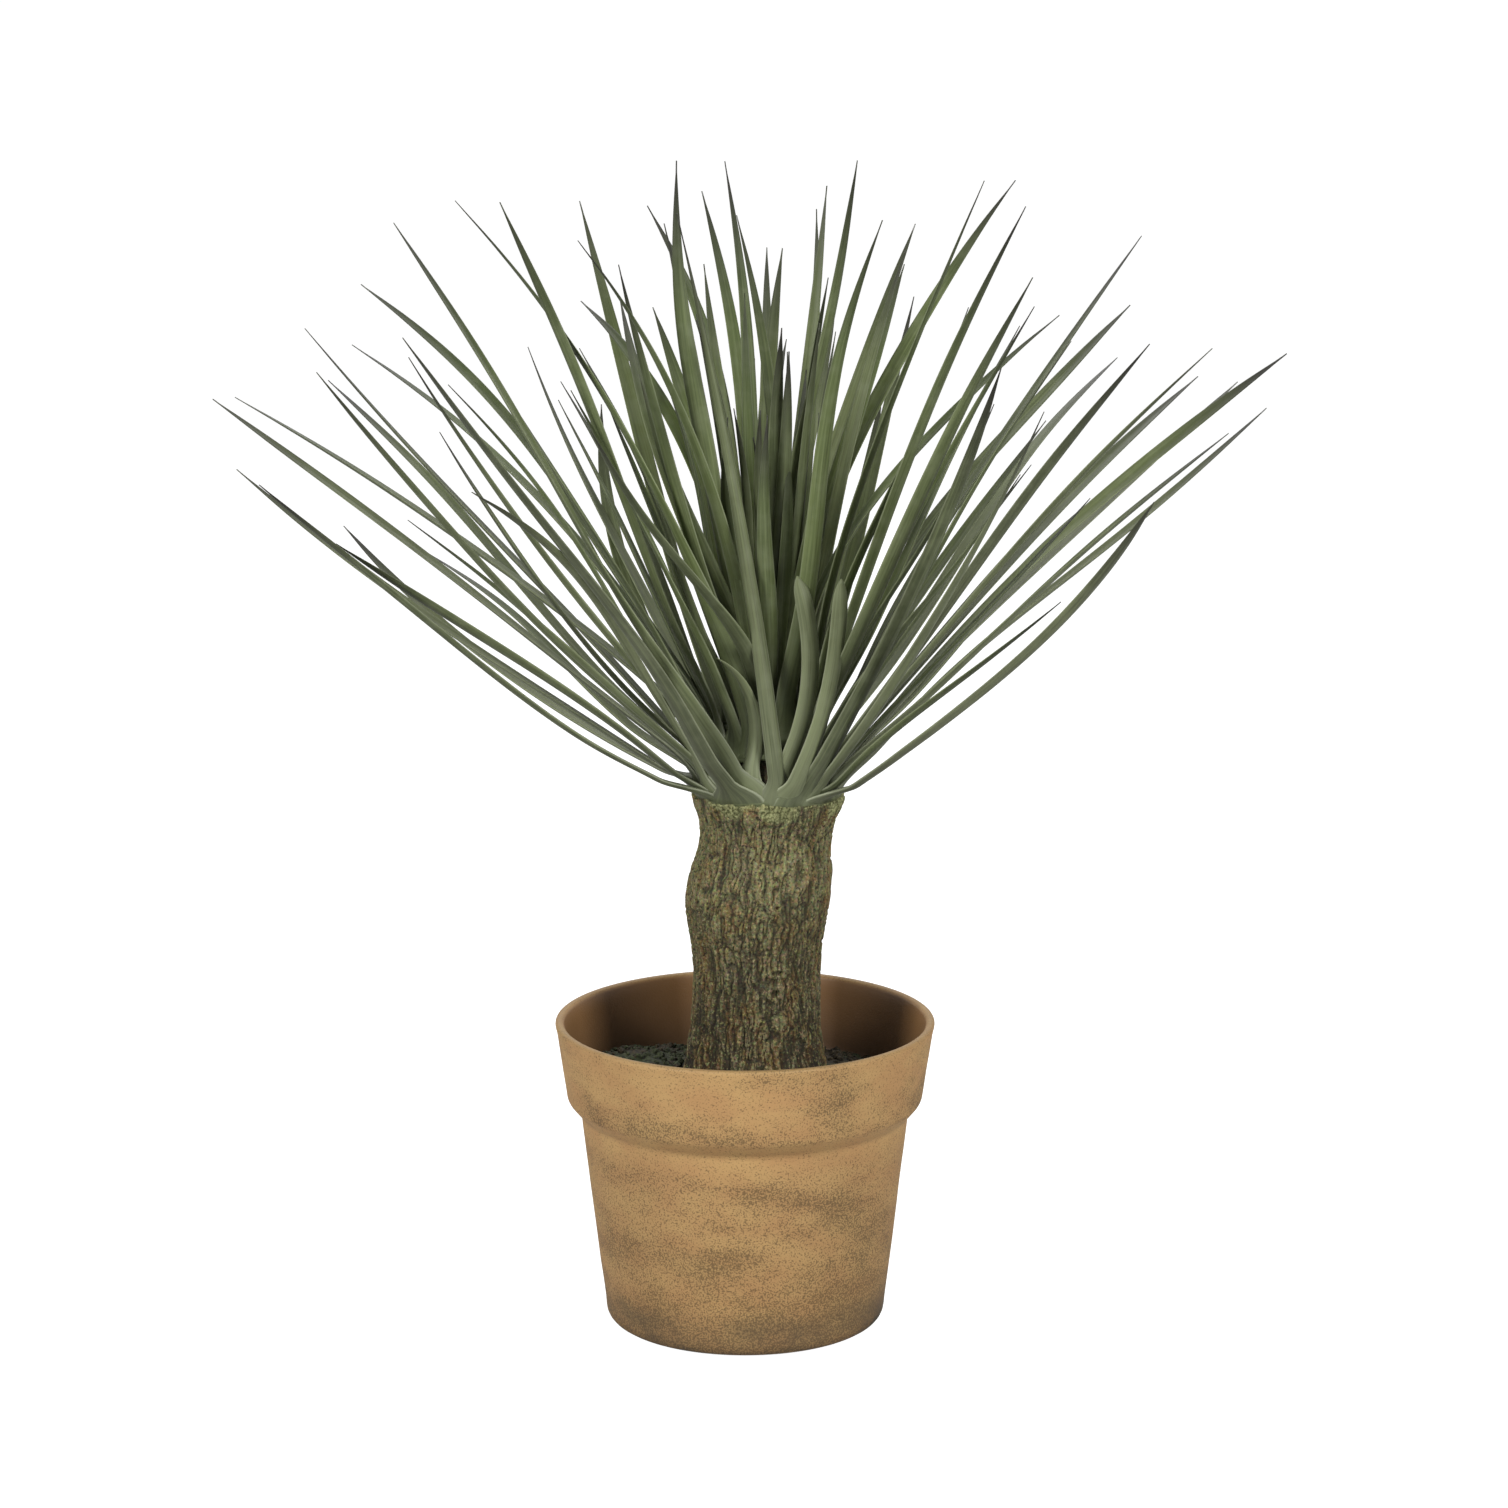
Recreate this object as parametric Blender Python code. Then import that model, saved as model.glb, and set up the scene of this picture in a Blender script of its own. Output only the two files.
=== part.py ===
"""Potted yucca, modelled in metres with +Z up and the origin at the centre of the pot's flat underside.

The pot stands on its base. It holds the potting soil, the soil holds the trunk, and the sword-shaped
leaves grow from the domed head of the trunk. Every piece is a solid of its own. -Y is the front.
"""

import math

import bmesh
import bpy
import numpy as np
from mathutils import Vector

# Driving dimensions of the pot.
POT_RADIUS = 0.0850  # over the lip
POT_HEIGHT = 0.138
POT_BASE_RADIUS = 0.0620  # of the wall, carried down to the underside
POT_WALL = 0.0034
POT_FLOOR = 0.0040
LIP = 0.0020  # radius of the rounded lip
BAND_BOTTOM = 0.103  # the collar band runs from here up to the lip
BAND_TOP_RADIUS = POT_RADIUS - 0.0010  # of its face, just below the lip
BAND_STEP = 0.0052  # how far the band stands out from the wall below it
FLARE_START = -0.0085  # the wall starts to flare this high above the band's bottom
BAND_FLARE = (  # (height above the band's bottom, reach beyond the wall)
    (-0.0055, 0.0010),
    (-0.0008, 0.0044),
    (0.0015, BAND_STEP),
)
INNER_STEP = (0.0010, -0.0080)  # the inside follows the band between these heights above its bottom
BASE_ROUNDING = 0.0060
FLOOR_ROUNDING = (0.0030, 0.0050)  # (across, up) at the inner edge of the floor

# Driving dimensions of the soil and the trunk.
GAP = 0.0003  # kept between touching pieces
SOIL_LEVEL = 0.106
SOIL_HEAP = Vector((-0.050, 0.018, 0.0070))  # where the soil is heaped, and how high
SOIL_HEAP_SPREAD = 0.024
SOIL_RIPPLE = 0.0009
SOIL_WELL = 0.004  # depth of the well's sloping edge round the trunk
TRUNK_BOTTOM = 0.050
TRUNK_LUMPS = 0.010  # how far the stem swells and sinks, as a share of its radius
TRUNK_FOOT = Vector((0.0052, 0.0, 0.0))  # the trunk stands a little off the pot's middle
TRUNK_BEND = 0.0050  # how far its top drifts sideways
TRUNK_BEND_LEVEL = 0.180  # where that bend begins
HEAD_LEVEL = 0.240  # the leaves grow from a dome on this level
HEAD_RADIUS = 0.0290
HEAD_HEIGHT = 0.0400
HEAD_LEDGE = 0.0030  # how far the trunk's top stands out round the dome
TRUNK_PROFILE = (  # (height, mean radius): flared foot, slim stretch, swelling, waist and flared top
    (0.050, 0.0290),
    (0.102, 0.0325),
    (0.108, 0.0330),
    (0.120, 0.0308),
    (0.134, 0.0285),
    (0.150, 0.0277),
    (0.170, 0.0280),
    (0.183, 0.0306),
    (0.194, 0.0320),
    (0.206, 0.0313),
    (0.219, 0.0288),
    (0.229, 0.0296),
    (0.238, 0.0335),
)

# Driving dimensions of a leaf.
LEAF_LENGTH = 0.262
LEAF_HALF_WIDTH = 0.0046
LEAF_THICKNESS = 0.0018
LEAF_THINNING = 0.75  # how much of that is lost towards the tip
LEAF_DISH = 0.24  # how far its edges stand up, as a share of half its width
LEAF_STATIONS = 11
WIDTH_PROFILE = ((0, 0.6), (0.08, 0.6), (0.38, 1), (0.7, 0.8), (0.9, 0.4), (1, 0))  # (length, width) shares
ROOT_CLEARANCE = 0.0026  # from the head's surface to the middle of a leaf's root

POT_SEGMENTS = 60
TRUNK_SEGMENTS = 32
SOIL_SEGMENTS = 40

# Each leaf: the bearing it leans to (0 is +X, 90 is away from the front), its mean lean from upright, and
# its bow, the lean that it gains from root to tip, all in degrees. Then, where they aren't the usual ones,
# its length as a share of LEAF_LENGTH, the bearing and the lean from upright of its seat on the head, and
# its sway, the bearing that it gains from root to tip.
LEAVES = (
    # the left side, from the lowest up
    (192, 53, -10, 0.95, 190, 82),
    (206, 52, -14, 0.98, 208, 88),
    (182, 52, 2, 1.02, 180, 72),
    (168, 57, 12, 1.0, 160, 54),
    (160, 57, -26, 0.78, 158, 87),
    (212, 44, -14, 1.02, 206, 69),
    (148, 52, -2),
    (160, 48, 28, 0.92, 160, 50),
    (216, 39, -12, 0.93, 212, 58),
    (168, 41, 22, 0.96, 174, 44),
    (192, 31, -2, 1.10, 248, 72, 10),
    (224, 40, 8, 1.10, 242, 86),
    (187, 30, 24, 1.03, 258, 41),
    (206, 24, -2, 0.98, 198, 38),
    (130, 37, 54, 0.83, 112, 40, 14),
    (220, 26, 36, 0.92, 250, 26),
    (117, 34, -10, 1.04, 128, 60),
    (204, 17, -11, 0.80, 237, 20),
    (110, 36, 10, 1.03, 103, 58, 37),
    (206, 8, -10, 0.93, 206, 14),
    (103, 32, -4, 1.0, 96, 48, 24),
    (100, 25, 2, 0.98, 94, 36, 8),
    (98, 36, 4, 0.98, 82, 46, 30),
    (90, 42, 2, 1.03, 90, 66),
    (86, 37, 6, 0.96, 94, 62, -14),
    (86, 53, -2, 1.03, 96, 80, -12),
    (223, 37, 12, 0.67, 276, 32),
    (112, 46, -16, 0.78, 120, 74, -50),
    (229, 46, 28, 0.80, 212, 77),
    (206, 38, -20, 0.76, 202, 64),
    (160, 46, -2, 1.02, 152, 74),
    # the right side, from the lowest up
    (315, 49, -22, 0.93, 320, 87),
    (344, 47, 6, 0.98, 346, 82),
    (334, 48, 2, 0.94, 330, 74),
    (0, 47, 16, 1.03, 4, 76),
    (26, 52, 6, 1.0, 22, 80),
    (36, 54, 10, 1.02, 34, 80),
    (340, 42, 6, 0.97, 342, 64),
    (324, 39, 2, 1.0, 318, 72),
    (40, 49, 30, 1.0, 36, 54),
    (48, 54, 6, 1.04, 54, 80),
    (308, 38, -14, 0.90, 312, 78),
    (6, 32, 12, 1.0, 8, 58),
    (0, 36, 46, 0.82, 42, 26),
    (310, 33, 4, 0.99, 313, 50),
    (318, 28, -14, 0.86, 300, 80),
    (324, 25, 10, 1.0, 328, 44),
    (46, 38, 36, 1.06, 86, 28),
    (344, 19, 16, 0.96, 344, 32),
    (66, 37, 22, 1.02, 78, 64, -16),
    (301, 20, 14, 0.92, 292, 30),
    (322, 10, 18, 0.94, 322, 16),
    (80, 49, 6, 1.02, 90, 74, -12),
    # the front: one long leaf and three short curled young ones
    (182, 10, 7, 1.0, 279, 86),
    (218, 22, 84, 0.235, 253, 67),
    (336, 2, -50, 0.345, 282, 66),
    (322, 14, -32, 0.40, 287, 81),
)


def profile_solid(name, rings, material):
    """One closed solid from rings stacked bottom to top, each a list of points; the ends are flat caps."""
    mesh = bpy.data.meshes.new(name)
    shape = bmesh.new()
    loops = [[shape.verts.new(point) for point in ring] for ring in rings]
    count = len(loops[0])
    for lower, upper in zip(loops, loops[1:]):
        for i in range(count):
            j = (i + 1) % count
            shape.faces.new((lower[i], lower[j], upper[j], upper[i]))
    shape.faces.new(loops[0][::-1])
    shape.faces.new(loops[-1])
    shape.to_mesh(mesh)
    shape.free()
    return place(name, mesh, material)


def place(name, mesh, material):
    """Links a mesh into the scene as the object of that name, with its material."""
    mesh.materials.append(material)
    mesh.shade_smooth()
    mesh.set_sharp_from_angle(angle=math.radians(40))
    made = bpy.data.objects.new(name, mesh)
    bpy.context.scene.collection.objects.link(made)
    return made


def surface(name, colour, roughness):
    """A Principled material of one plain colour."""
    material = bpy.data.materials.new(name)
    material.use_nodes = True
    shader = material.node_tree.nodes["Principled BSDF"]
    shader.inputs["Base Color"].default_value = (*colour, 1.0)
    shader.inputs["Roughness"].default_value = roughness
    shader.inputs["Metallic"].default_value = 0.0
    return material


def arc(centre, radius, start, end, steps):
    """Points (radius, height) on an arc in the profile plane; angles in degrees from the outward way."""
    angles = np.radians(np.linspace(start, end, steps))
    return [(centre[0] + radius * math.cos(a), centre[1] + radius * math.sin(a)) for a in angles]


def wall_radius(height):
    """The outer radius of the pot's plain wall at a height, carried up behind the band."""
    top_radius = BAND_TOP_RADIUS - BAND_STEP
    return POT_BASE_RADIUS + (top_radius - POT_BASE_RADIUS) * height / POT_HEIGHT


def ring(radius, height, segments, centre=(0.0, 0.0)):
    """A level circle of points."""
    turn = np.arange(segments) * 2 * math.pi / segments
    return [(centre[0] + radius * math.cos(a), centre[1] + radius * math.sin(a), height) for a in turn]


def make_pot(material):
    """The tapered pot with its collar band, its rounded lip and a floor, open at the top."""
    corner = (wall_radius(BASE_ROUNDING) - BASE_ROUNDING, BASE_ROUNDING)
    under_lip = POT_HEIGHT - 3 * LIP
    outer = arc(corner, BASE_ROUNDING, -90, -8, 5)
    outer.append((wall_radius(BAND_BOTTOM + FLARE_START), BAND_BOTTOM + FLARE_START))
    outer += [(wall_radius(BAND_BOTTOM) + reach, BAND_BOTTOM + rise) for rise, reach in BAND_FLARE]
    outer.append((BAND_TOP_RADIUS - 0.1 * LIP, under_lip))
    outer += arc((POT_RADIUS - LIP, POT_HEIGHT - LIP), LIP, -20, 160, 6)
    step_top, step_bottom = (BAND_BOTTOM + rise for rise in INNER_STEP)
    round_across, round_up = FLOOR_ROUNDING
    inner = [
        (POT_RADIUS - 2.2 * LIP, under_lip),
        (wall_radius(BAND_BOTTOM) + BAND_STEP - POT_WALL, step_top),
        (wall_radius(BAND_BOTTOM) - POT_WALL, step_bottom),
        (wall_radius(POT_FLOOR + round_up) - POT_WALL, POT_FLOOR + round_up),
        (wall_radius(POT_FLOOR) - POT_WALL - round_across, POT_FLOOR),
    ]
    rings = [ring(radius, height, POT_SEGMENTS) for radius, height in outer + inner]
    return profile_solid("pot", rings, material)


def trunk_centre(height):
    """The middle of the trunk at a height: straight up from the foot, then a bend to the right at the top."""
    share = min(1.0, max(0.0, (height - TRUNK_BEND_LEVEL) / (HEAD_LEVEL - TRUNK_BEND_LEVEL)))
    return TRUNK_FOOT.x + TRUNK_BEND * share * share * (3 - 2 * share)


def trunk_radius(height):
    """The trunk's mean radius at a height, read off its profile."""
    levels, radii = zip(*TRUNK_PROFILE)
    return float(np.interp(height, levels, radii))


def trunk_ring(height, radius, lumps):
    """A ring of the trunk: a circle that swells and sinks slowly round the stem."""
    centre = trunk_centre(height)
    turn = np.arange(TRUNK_SEGMENTS) * 2 * math.pi / TRUNK_SEGMENTS
    reach = radius * (1 + lumps * (np.sin(3 * turn + 40 * height) + 0.6 * np.sin(5 * turn - 65 * height)))
    return [(centre + r * math.cos(a), r * math.sin(a), height) for r, a in zip(reach, turn)]


def make_trunk(material):
    """The trunk, from its foot in the soil to the dome that carries the leaves, as one grown piece."""
    heights = [TRUNK_BOTTOM, SOIL_LEVEL - SOIL_WELL]
    rings = [trunk_ring(height, trunk_radius(height), 0.0) for height in heights]
    for height in np.linspace(SOIL_LEVEL + 0.003, HEAD_LEVEL - 0.004, 16):
        rings.append(trunk_ring(height, trunk_radius(height), TRUNK_LUMPS))
    rings.append(trunk_ring(HEAD_LEVEL, HEAD_RADIUS + HEAD_LEDGE, 0.4 * TRUNK_LUMPS))
    for degrees in (4, 20, 38, 56, 74, 86):
        angle = math.radians(degrees)
        height = HEAD_LEVEL + HEAD_HEIGHT * math.sin(angle)
        rings.append(trunk_ring(height, HEAD_RADIUS * math.cos(angle), 0.0))
    return profile_solid("trunk", rings, material)


def soil_height(x, y):
    """The soil's surface: nearly level, heaped a little on the left and at the back."""
    away = math.hypot(x - SOIL_HEAP.x, y - SOIL_HEAP.y) / SOIL_HEAP_SPREAD
    heap = SOIL_HEAP.z * math.exp(-away * away / 2)
    ripple = SOIL_RIPPLE * math.sin(170 * x + 1.0) * math.sin(150 * y + 0.4)
    return SOIL_LEVEL + heap + ripple


def make_soil(material):
    """The potting soil: it fills the pot below the rim, with a well for the trunk's foot."""
    foot = (TRUNK_FOOT.x, 0.0)
    top_edge = wall_radius(SOIL_LEVEL) + BAND_STEP * 0.35 - POT_WALL - 2 * GAP
    round_across, round_up = FLOOR_ROUNDING
    floor_edge = POT_FLOOR + round_up
    step_bottom = BAND_BOTTOM + INNER_STEP[1] - GAP
    rings = [
        ring(wall_radius(POT_FLOOR) - POT_WALL - round_across - 3 * GAP, POT_FLOOR + GAP, SOIL_SEGMENTS),
        ring(wall_radius(floor_edge) - POT_WALL - 2 * GAP, floor_edge + GAP, SOIL_SEGMENTS),
        ring(wall_radius(BAND_BOTTOM) - POT_WALL - 4 * GAP, step_bottom, SOIL_SEGMENTS),
    ]
    outer = ring(top_edge, SOIL_LEVEL, SOIL_SEGMENTS)
    well = ring(trunk_radius(SOIL_LEVEL) + 3 * GAP, SOIL_LEVEL, SOIL_SEGMENTS, foot)
    for share in (0.0, 0.25, 0.5, 0.75, 1.0):
        mixed = [Vector(a).lerp(Vector(b), share) for a, b in zip(outer, well)]
        swell = 0.0 if share in (0.0, 1.0) else 1.0
        rings.append([(p.x, p.y, SOIL_LEVEL + swell * (soil_height(p.x, p.y) - SOIL_LEVEL)) for p in mixed])
    well_bottom = SOIL_LEVEL - SOIL_WELL
    rings.append(ring(trunk_radius(well_bottom) + 2 * GAP, well_bottom, SOIL_SEGMENTS, foot))
    rings.append(ring(trunk_radius(TRUNK_BOTTOM) + 2 * GAP, TRUNK_BOTTOM - GAP, SOIL_SEGMENTS, foot))
    return profile_solid("potting_soil", rings, material)


def direction(bearing, lean):
    """The unit vector that leans from upright towards a bearing, both in radians."""
    return Vector((math.sin(lean) * math.cos(bearing), math.sin(lean) * math.sin(bearing), math.cos(lean)))


def leaf_root(bearing, seat):
    """Where a leaf's root sits: just off the dome of the head, at a bearing and a lean from upright."""
    facing = direction(bearing, seat)
    on_dome = Vector((HEAD_RADIUS * facing.x, HEAD_RADIUS * facing.y, HEAD_HEIGHT * facing.z))
    centre = Vector((trunk_centre(HEAD_LEVEL), 0.0, HEAD_LEVEL))
    return centre + on_dome + ROOT_CLEARANCE * facing


def leaf_path(bearing, lean, bow, length=1.0, seat_bearing=None, seat=None, sway=0):
    """The leaf's stations from root to tip: each a point, the way the leaf runs, its share of the way."""
    seat_bearing = bearing if seat_bearing is None else seat_bearing
    seat = min(86, 1.5 * lean + 4) if seat is None else seat
    point = leaf_root(math.radians(seat_bearing), math.radians(seat))
    step = length * LEAF_LENGTH / (LEAF_STATIONS - 1)
    stations = []
    for share in np.linspace(0.0, 1.0, LEAF_STATIONS):
        heading = math.radians(bearing + sway * (share - 0.5))
        here = direction(heading, math.radians(lean + bow * (share - 0.5)))
        stations.append((point.copy(), here, share))
        point += step * here
    return stations


def leaf_half_width(share):
    """Half the blade's width: a narrow neck above the root, widest past a third, then a long taper."""
    shares, widths = zip(*WIDTH_PROFILE)
    return LEAF_HALF_WIDTH * float(np.interp(share, shares, widths))


def make_leaf(name, row, material):
    """One sword-shaped leaf: a shallow channel section carried along its path to a sharp point."""
    mesh = bpy.data.meshes.new(name)
    shape = bmesh.new()
    stations = leaf_path(*row)
    seat_bearing = math.radians(row[4] if len(row) > 4 else row[0])
    round_head = Vector((-math.sin(seat_bearing), math.cos(seat_bearing), 0))
    loops = []
    for point, along, share in stations[:-1]:
        across = (round_head - along * round_head.dot(along)).normalized()
        inward = along.cross(across)
        half = leaf_half_width(share)
        thick = LEAF_THICKNESS * (1 - LEAF_THINNING * share)
        corners = ((-half, LEAF_DISH * half), (0, -thick), (half, LEAF_DISH * half), (0, 0))
        loops.append([shape.verts.new(point + across * x + inward * z) for x, z in corners])
    for lower, upper in zip(loops, loops[1:]):
        for i in range(4):
            j = (i + 1) % 4
            shape.faces.new((lower[i], lower[j], upper[j], upper[i]))
    tip = shape.verts.new(stations[-1][0])
    last = loops[-1]
    for i in range(4):
        shape.faces.new((last[i], last[(i + 1) % 4], tip))
    root = loops[0]
    shape.faces.new((root[3], root[1], root[0]))
    shape.faces.new((root[3], root[2], root[1]))
    bmesh.ops.recalc_face_normals(shape, faces=shape.faces)
    shape.to_mesh(mesh)
    shape.free()
    return place(name, mesh, material)


def main():
    for old in list(bpy.data.objects):
        bpy.data.objects.remove(old)
    make_pot(surface("terracotta_plastic", (0.42, 0.25, 0.10), 0.55))
    make_soil(surface("soil", (0.03, 0.035, 0.025), 0.95))
    make_trunk(surface("bark", (0.16, 0.13, 0.06), 0.85))
    green = surface("leaf_green", (0.10, 0.15, 0.06), 0.5)
    for number, row in enumerate(LEAVES, start=1):
        make_leaf(f"leaf_{number:02d}", row, green)


main()
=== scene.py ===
# %% [markdown]
# # A potted yucca
#
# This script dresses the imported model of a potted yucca. The model holds the plain solids: a pot, its
# soil, a trunk and 57 leaves. Each of them is replaced here by a finely shaped piece with its own finish.
#
# Every shape is a surface over a grid of two parameters, such as the turn round the pot and the way along
# its outline. numpy works out the whole grid at once, and the mesh takes the numbers as they are.

import itertools
import math

import bpy
import numpy as np
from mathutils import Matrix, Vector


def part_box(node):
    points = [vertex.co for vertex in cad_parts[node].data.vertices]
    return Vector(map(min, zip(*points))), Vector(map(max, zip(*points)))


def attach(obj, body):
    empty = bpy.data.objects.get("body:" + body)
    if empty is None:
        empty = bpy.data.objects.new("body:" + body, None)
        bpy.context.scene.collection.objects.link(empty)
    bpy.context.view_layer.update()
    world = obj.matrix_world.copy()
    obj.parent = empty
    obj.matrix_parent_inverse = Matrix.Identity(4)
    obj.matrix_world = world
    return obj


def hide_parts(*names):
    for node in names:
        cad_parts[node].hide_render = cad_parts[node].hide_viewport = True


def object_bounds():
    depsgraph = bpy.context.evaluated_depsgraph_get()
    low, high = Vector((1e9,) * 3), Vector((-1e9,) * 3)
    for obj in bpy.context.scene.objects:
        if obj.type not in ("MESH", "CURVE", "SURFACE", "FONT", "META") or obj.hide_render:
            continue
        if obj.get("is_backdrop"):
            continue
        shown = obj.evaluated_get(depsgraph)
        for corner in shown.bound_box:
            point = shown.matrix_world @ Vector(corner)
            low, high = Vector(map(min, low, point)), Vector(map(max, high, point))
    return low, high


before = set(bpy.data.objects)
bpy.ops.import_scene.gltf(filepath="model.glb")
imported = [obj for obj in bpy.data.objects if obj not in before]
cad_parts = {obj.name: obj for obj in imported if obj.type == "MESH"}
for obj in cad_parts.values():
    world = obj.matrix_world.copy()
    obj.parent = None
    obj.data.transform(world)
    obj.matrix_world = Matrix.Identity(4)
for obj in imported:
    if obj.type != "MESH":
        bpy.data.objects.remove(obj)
cad_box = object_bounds()
scene = bpy.context.scene
leaf_nodes = sorted(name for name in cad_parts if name.startswith("leaf"))
print("leaves in the frame:", len(leaf_nodes))


# %% [markdown]
# ## Helpers for finishes
#
# Colours are easiest to choose as sRGB hex values, as a paint chart gives them, but a renderer adds and
# multiplies light, so it needs them linear. `linear` turns one into the other.
#
# A finish is a small network of nodes. `add` puts one node in, with its settings and its links, and hands
# back the output that is wanted. That keeps each finish readable as a list of steps.

# %% Colour and node helpers
def linear(hex_colour):
    """Linear RGBA of an sRGB hex colour: c/12.92 up to 0.04045, and ((c + 0.055)/1.055)^2.4 above."""
    channels = [int(hex_colour[i:i + 2], 16) / 255 for i in (1, 3, 5)]
    return tuple(c / 12.92 if c <= 0.04045 else ((c + 0.055) / 1.055) ** 2.4 for c in channels) + (1.0,)


def add(tree, kind, inputs=None, out=None, **settings):
    """Adds one node and hands back its output called out, or its first one. inputs gives each socket, by
    name or number, a plain value, a hex colour or another node's output."""
    made = tree.nodes.new(kind)
    for name, value in settings.items():
        setattr(made, name, value)
    for key, value in (inputs or {}).items():
        named = [s for s in made.inputs if s.enabled and s.name == key]
        socket = named[0] if named else made.inputs[key]
        if isinstance(value, bpy.types.NodeSocket):
            tree.links.new(value, socket)
        else:
            socket.default_value = linear(value) if isinstance(value, str) else value
    return next((s for s in made.outputs if s.enabled and out in (None, s.name)), None)


def new_finish(name):
    """A material with an empty network: hands back the material and its node tree."""
    material = bpy.data.materials.new(name)
    material.use_nodes = True
    material.node_tree.nodes.clear()
    return material, material.node_tree


print("mid grey is", linear("#808080")[0])

# %% [markdown]
# ## Helpers for shapes
#
# `closed_skin` makes a closed mesh from a grid of points whose rows are rings. It joins each ring to the
# next with quads and closes the first and last rings with a fan to their middle. One function for the
# leaves, the trunk, the pot and the soil means that one way of closing a shape has to be right.
#
# `noise` is the usual value noise: random numbers on a cubic lattice, blended smoothly in between. The
# bark, the soil and the little unevennesses of the pot all come from it.

# %% Mesh and noise helpers
def place(name, mesh, material):
    """Links a mesh into the scene as a smooth-shaded object at the origin, riding on the plant's one body."""
    mesh.materials.append(material)
    mesh.shade_smooth()
    made = bpy.data.objects.new(name, mesh)
    scene.collection.objects.link(made)
    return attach(made, "root")


def closed_skin(name, rings, material, values=None):
    """A closed mesh from rings (rows, columns, 3): quads between neighbouring rings, a fan over each end.
    values holds named numbers for each point of the grid, kept as attributes for the finish to read."""
    rows, columns = rings.shape[:2]
    index = np.arange(rows * columns).reshape(rows, columns)
    beside = np.roll(index, -1, axis=1)
    quads = np.stack([index[:-1], beside[:-1], beside[1:], index[1:]], axis=-1).reshape(-1, 4)
    first, last = rows * columns, rows * columns + 1
    start = np.stack([beside[0], index[0], np.full(columns, first)], axis=-1)
    end = np.stack([index[-1], beside[-1], np.full(columns, last)], axis=-1)
    points = np.concatenate([rings.reshape(-1, 3), [rings[0].mean(0), rings[-1].mean(0)]])
    mesh = bpy.data.meshes.new(name)
    mesh.from_pydata(points.tolist(), [], quads.tolist() + start.tolist() + end.tolist())
    for label, grid in (values or {}).items():
        flat = np.concatenate([grid.reshape(-1), [grid[0].mean(), grid[-1].mean()]])
        mesh.attributes.new(label, "FLOAT", "POINT").data.foreach_set("value", flat.astype(np.float32))
    return place(name, mesh, material)


def noise(points, size, seed=0):
    """Value noise from -1 to 1 at points (..., 3): a random number sits at each corner of a lattice of that
    spacing, and they are blended with the weights 3f^2 - 2f^3, f being the way across the cell."""
    lattice = np.random.default_rng(seed).uniform(-1, 1, (32, 32, 32))
    cell = np.floor(points / size).astype(int)
    across = points / size - cell
    across = across * across * (3 - 2 * across)
    total = np.zeros(points.shape[:-1])
    for corner in itertools.product((0, 1), repeat=3):
        weight = np.prod(np.where(corner, across, 1 - across), axis=-1)
        x, y, z = np.moveaxis((cell + corner) % 32, -1, 0)
        total += weight * lattice[x, y, z]
    return total


def ease(low, high, x):
    """0 below low, 1 above high and 3f^2 - 2f^3 between them."""
    f = np.clip((x - low) / (high - low), 0, 1)
    return f * f * (3 - 2 * f)


def unit(vectors):
    """The same directions (..., 3) with length 1."""
    return vectors / np.linalg.norm(vectors, axis=-1, keepdims=True)


print("noise at one point:", round(float(noise(np.full((1, 3), 0.013), 0.01)[0]), 3))

# %% [markdown]
# ## The pot
#
# The pot is matt plastic moulded to look like terracotta: an ochre tan body with a collar band, a thin
# rounded lip and a rounded foot, sponged and brushed by hand with thin dark brown paint. Inside it is left as
# it came from the mould, a smoother darker brown.
#
# A pot like this can be lathed with a Screw modifier from a drawn outline. Here the outline is a short list
# of corners, each with the reach of its rounding, because that is how its maker would draw it, and the
# turn round the axis is one line of numpy. Its sizes are those of the frame's solid.

# %% The pot's outline
_, pot_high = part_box("pot")
POT_RADIUS = pot_high.x
POT_HEIGHT = pot_high.z
POT_BASE_RADIUS = 0.0620  # of the plain wall, carried down to the underside
POT_WALL = 0.0034
POT_FLOOR = 0.0040
BAND_BOTTOM = 0.103
BAND_STEP = 0.0052  # how far the band stands out from the wall
POT_DRAFT = 0.0010  # how much further in the wall stays behind the band
PIVOT = 0.0010  # radius of the outline's two ends, near the pot's axis
LIP = 0.0020  # radius of the rounded lip


def wall_radius(height):
    """The plain wall's outer radius, growing evenly from the base to behind the band."""
    return POT_BASE_RADIUS + (POT_RADIUS - BAND_STEP - POT_DRAFT - POT_BASE_RADIUS) * height / POT_HEIGHT


def rounded(corners, steps=7):
    """An outline with its corners rounded. At each corner a curve runs between the two points that lie the
    rounding away along its arms, as the parabola (1-u)^2 a + 2u(1-u) corner + u^2 b."""
    points = [np.array(corners[0][:2])]
    u = np.linspace(0, 1, steps)[:, None]
    for before, here, after in zip(corners, corners[1:], corners[2:]):
        corner = np.array(here[:2])
        a = corner + unit(np.array(before[:2]) - corner) * here[2]
        b = corner + unit(np.array(after[:2]) - corner) * here[2]
        points += list((1 - u) ** 2 * a + 2 * u * (1 - u) * corner + u**2 * b)
    return np.array(points + [np.array(corners[-1][:2])])


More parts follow.
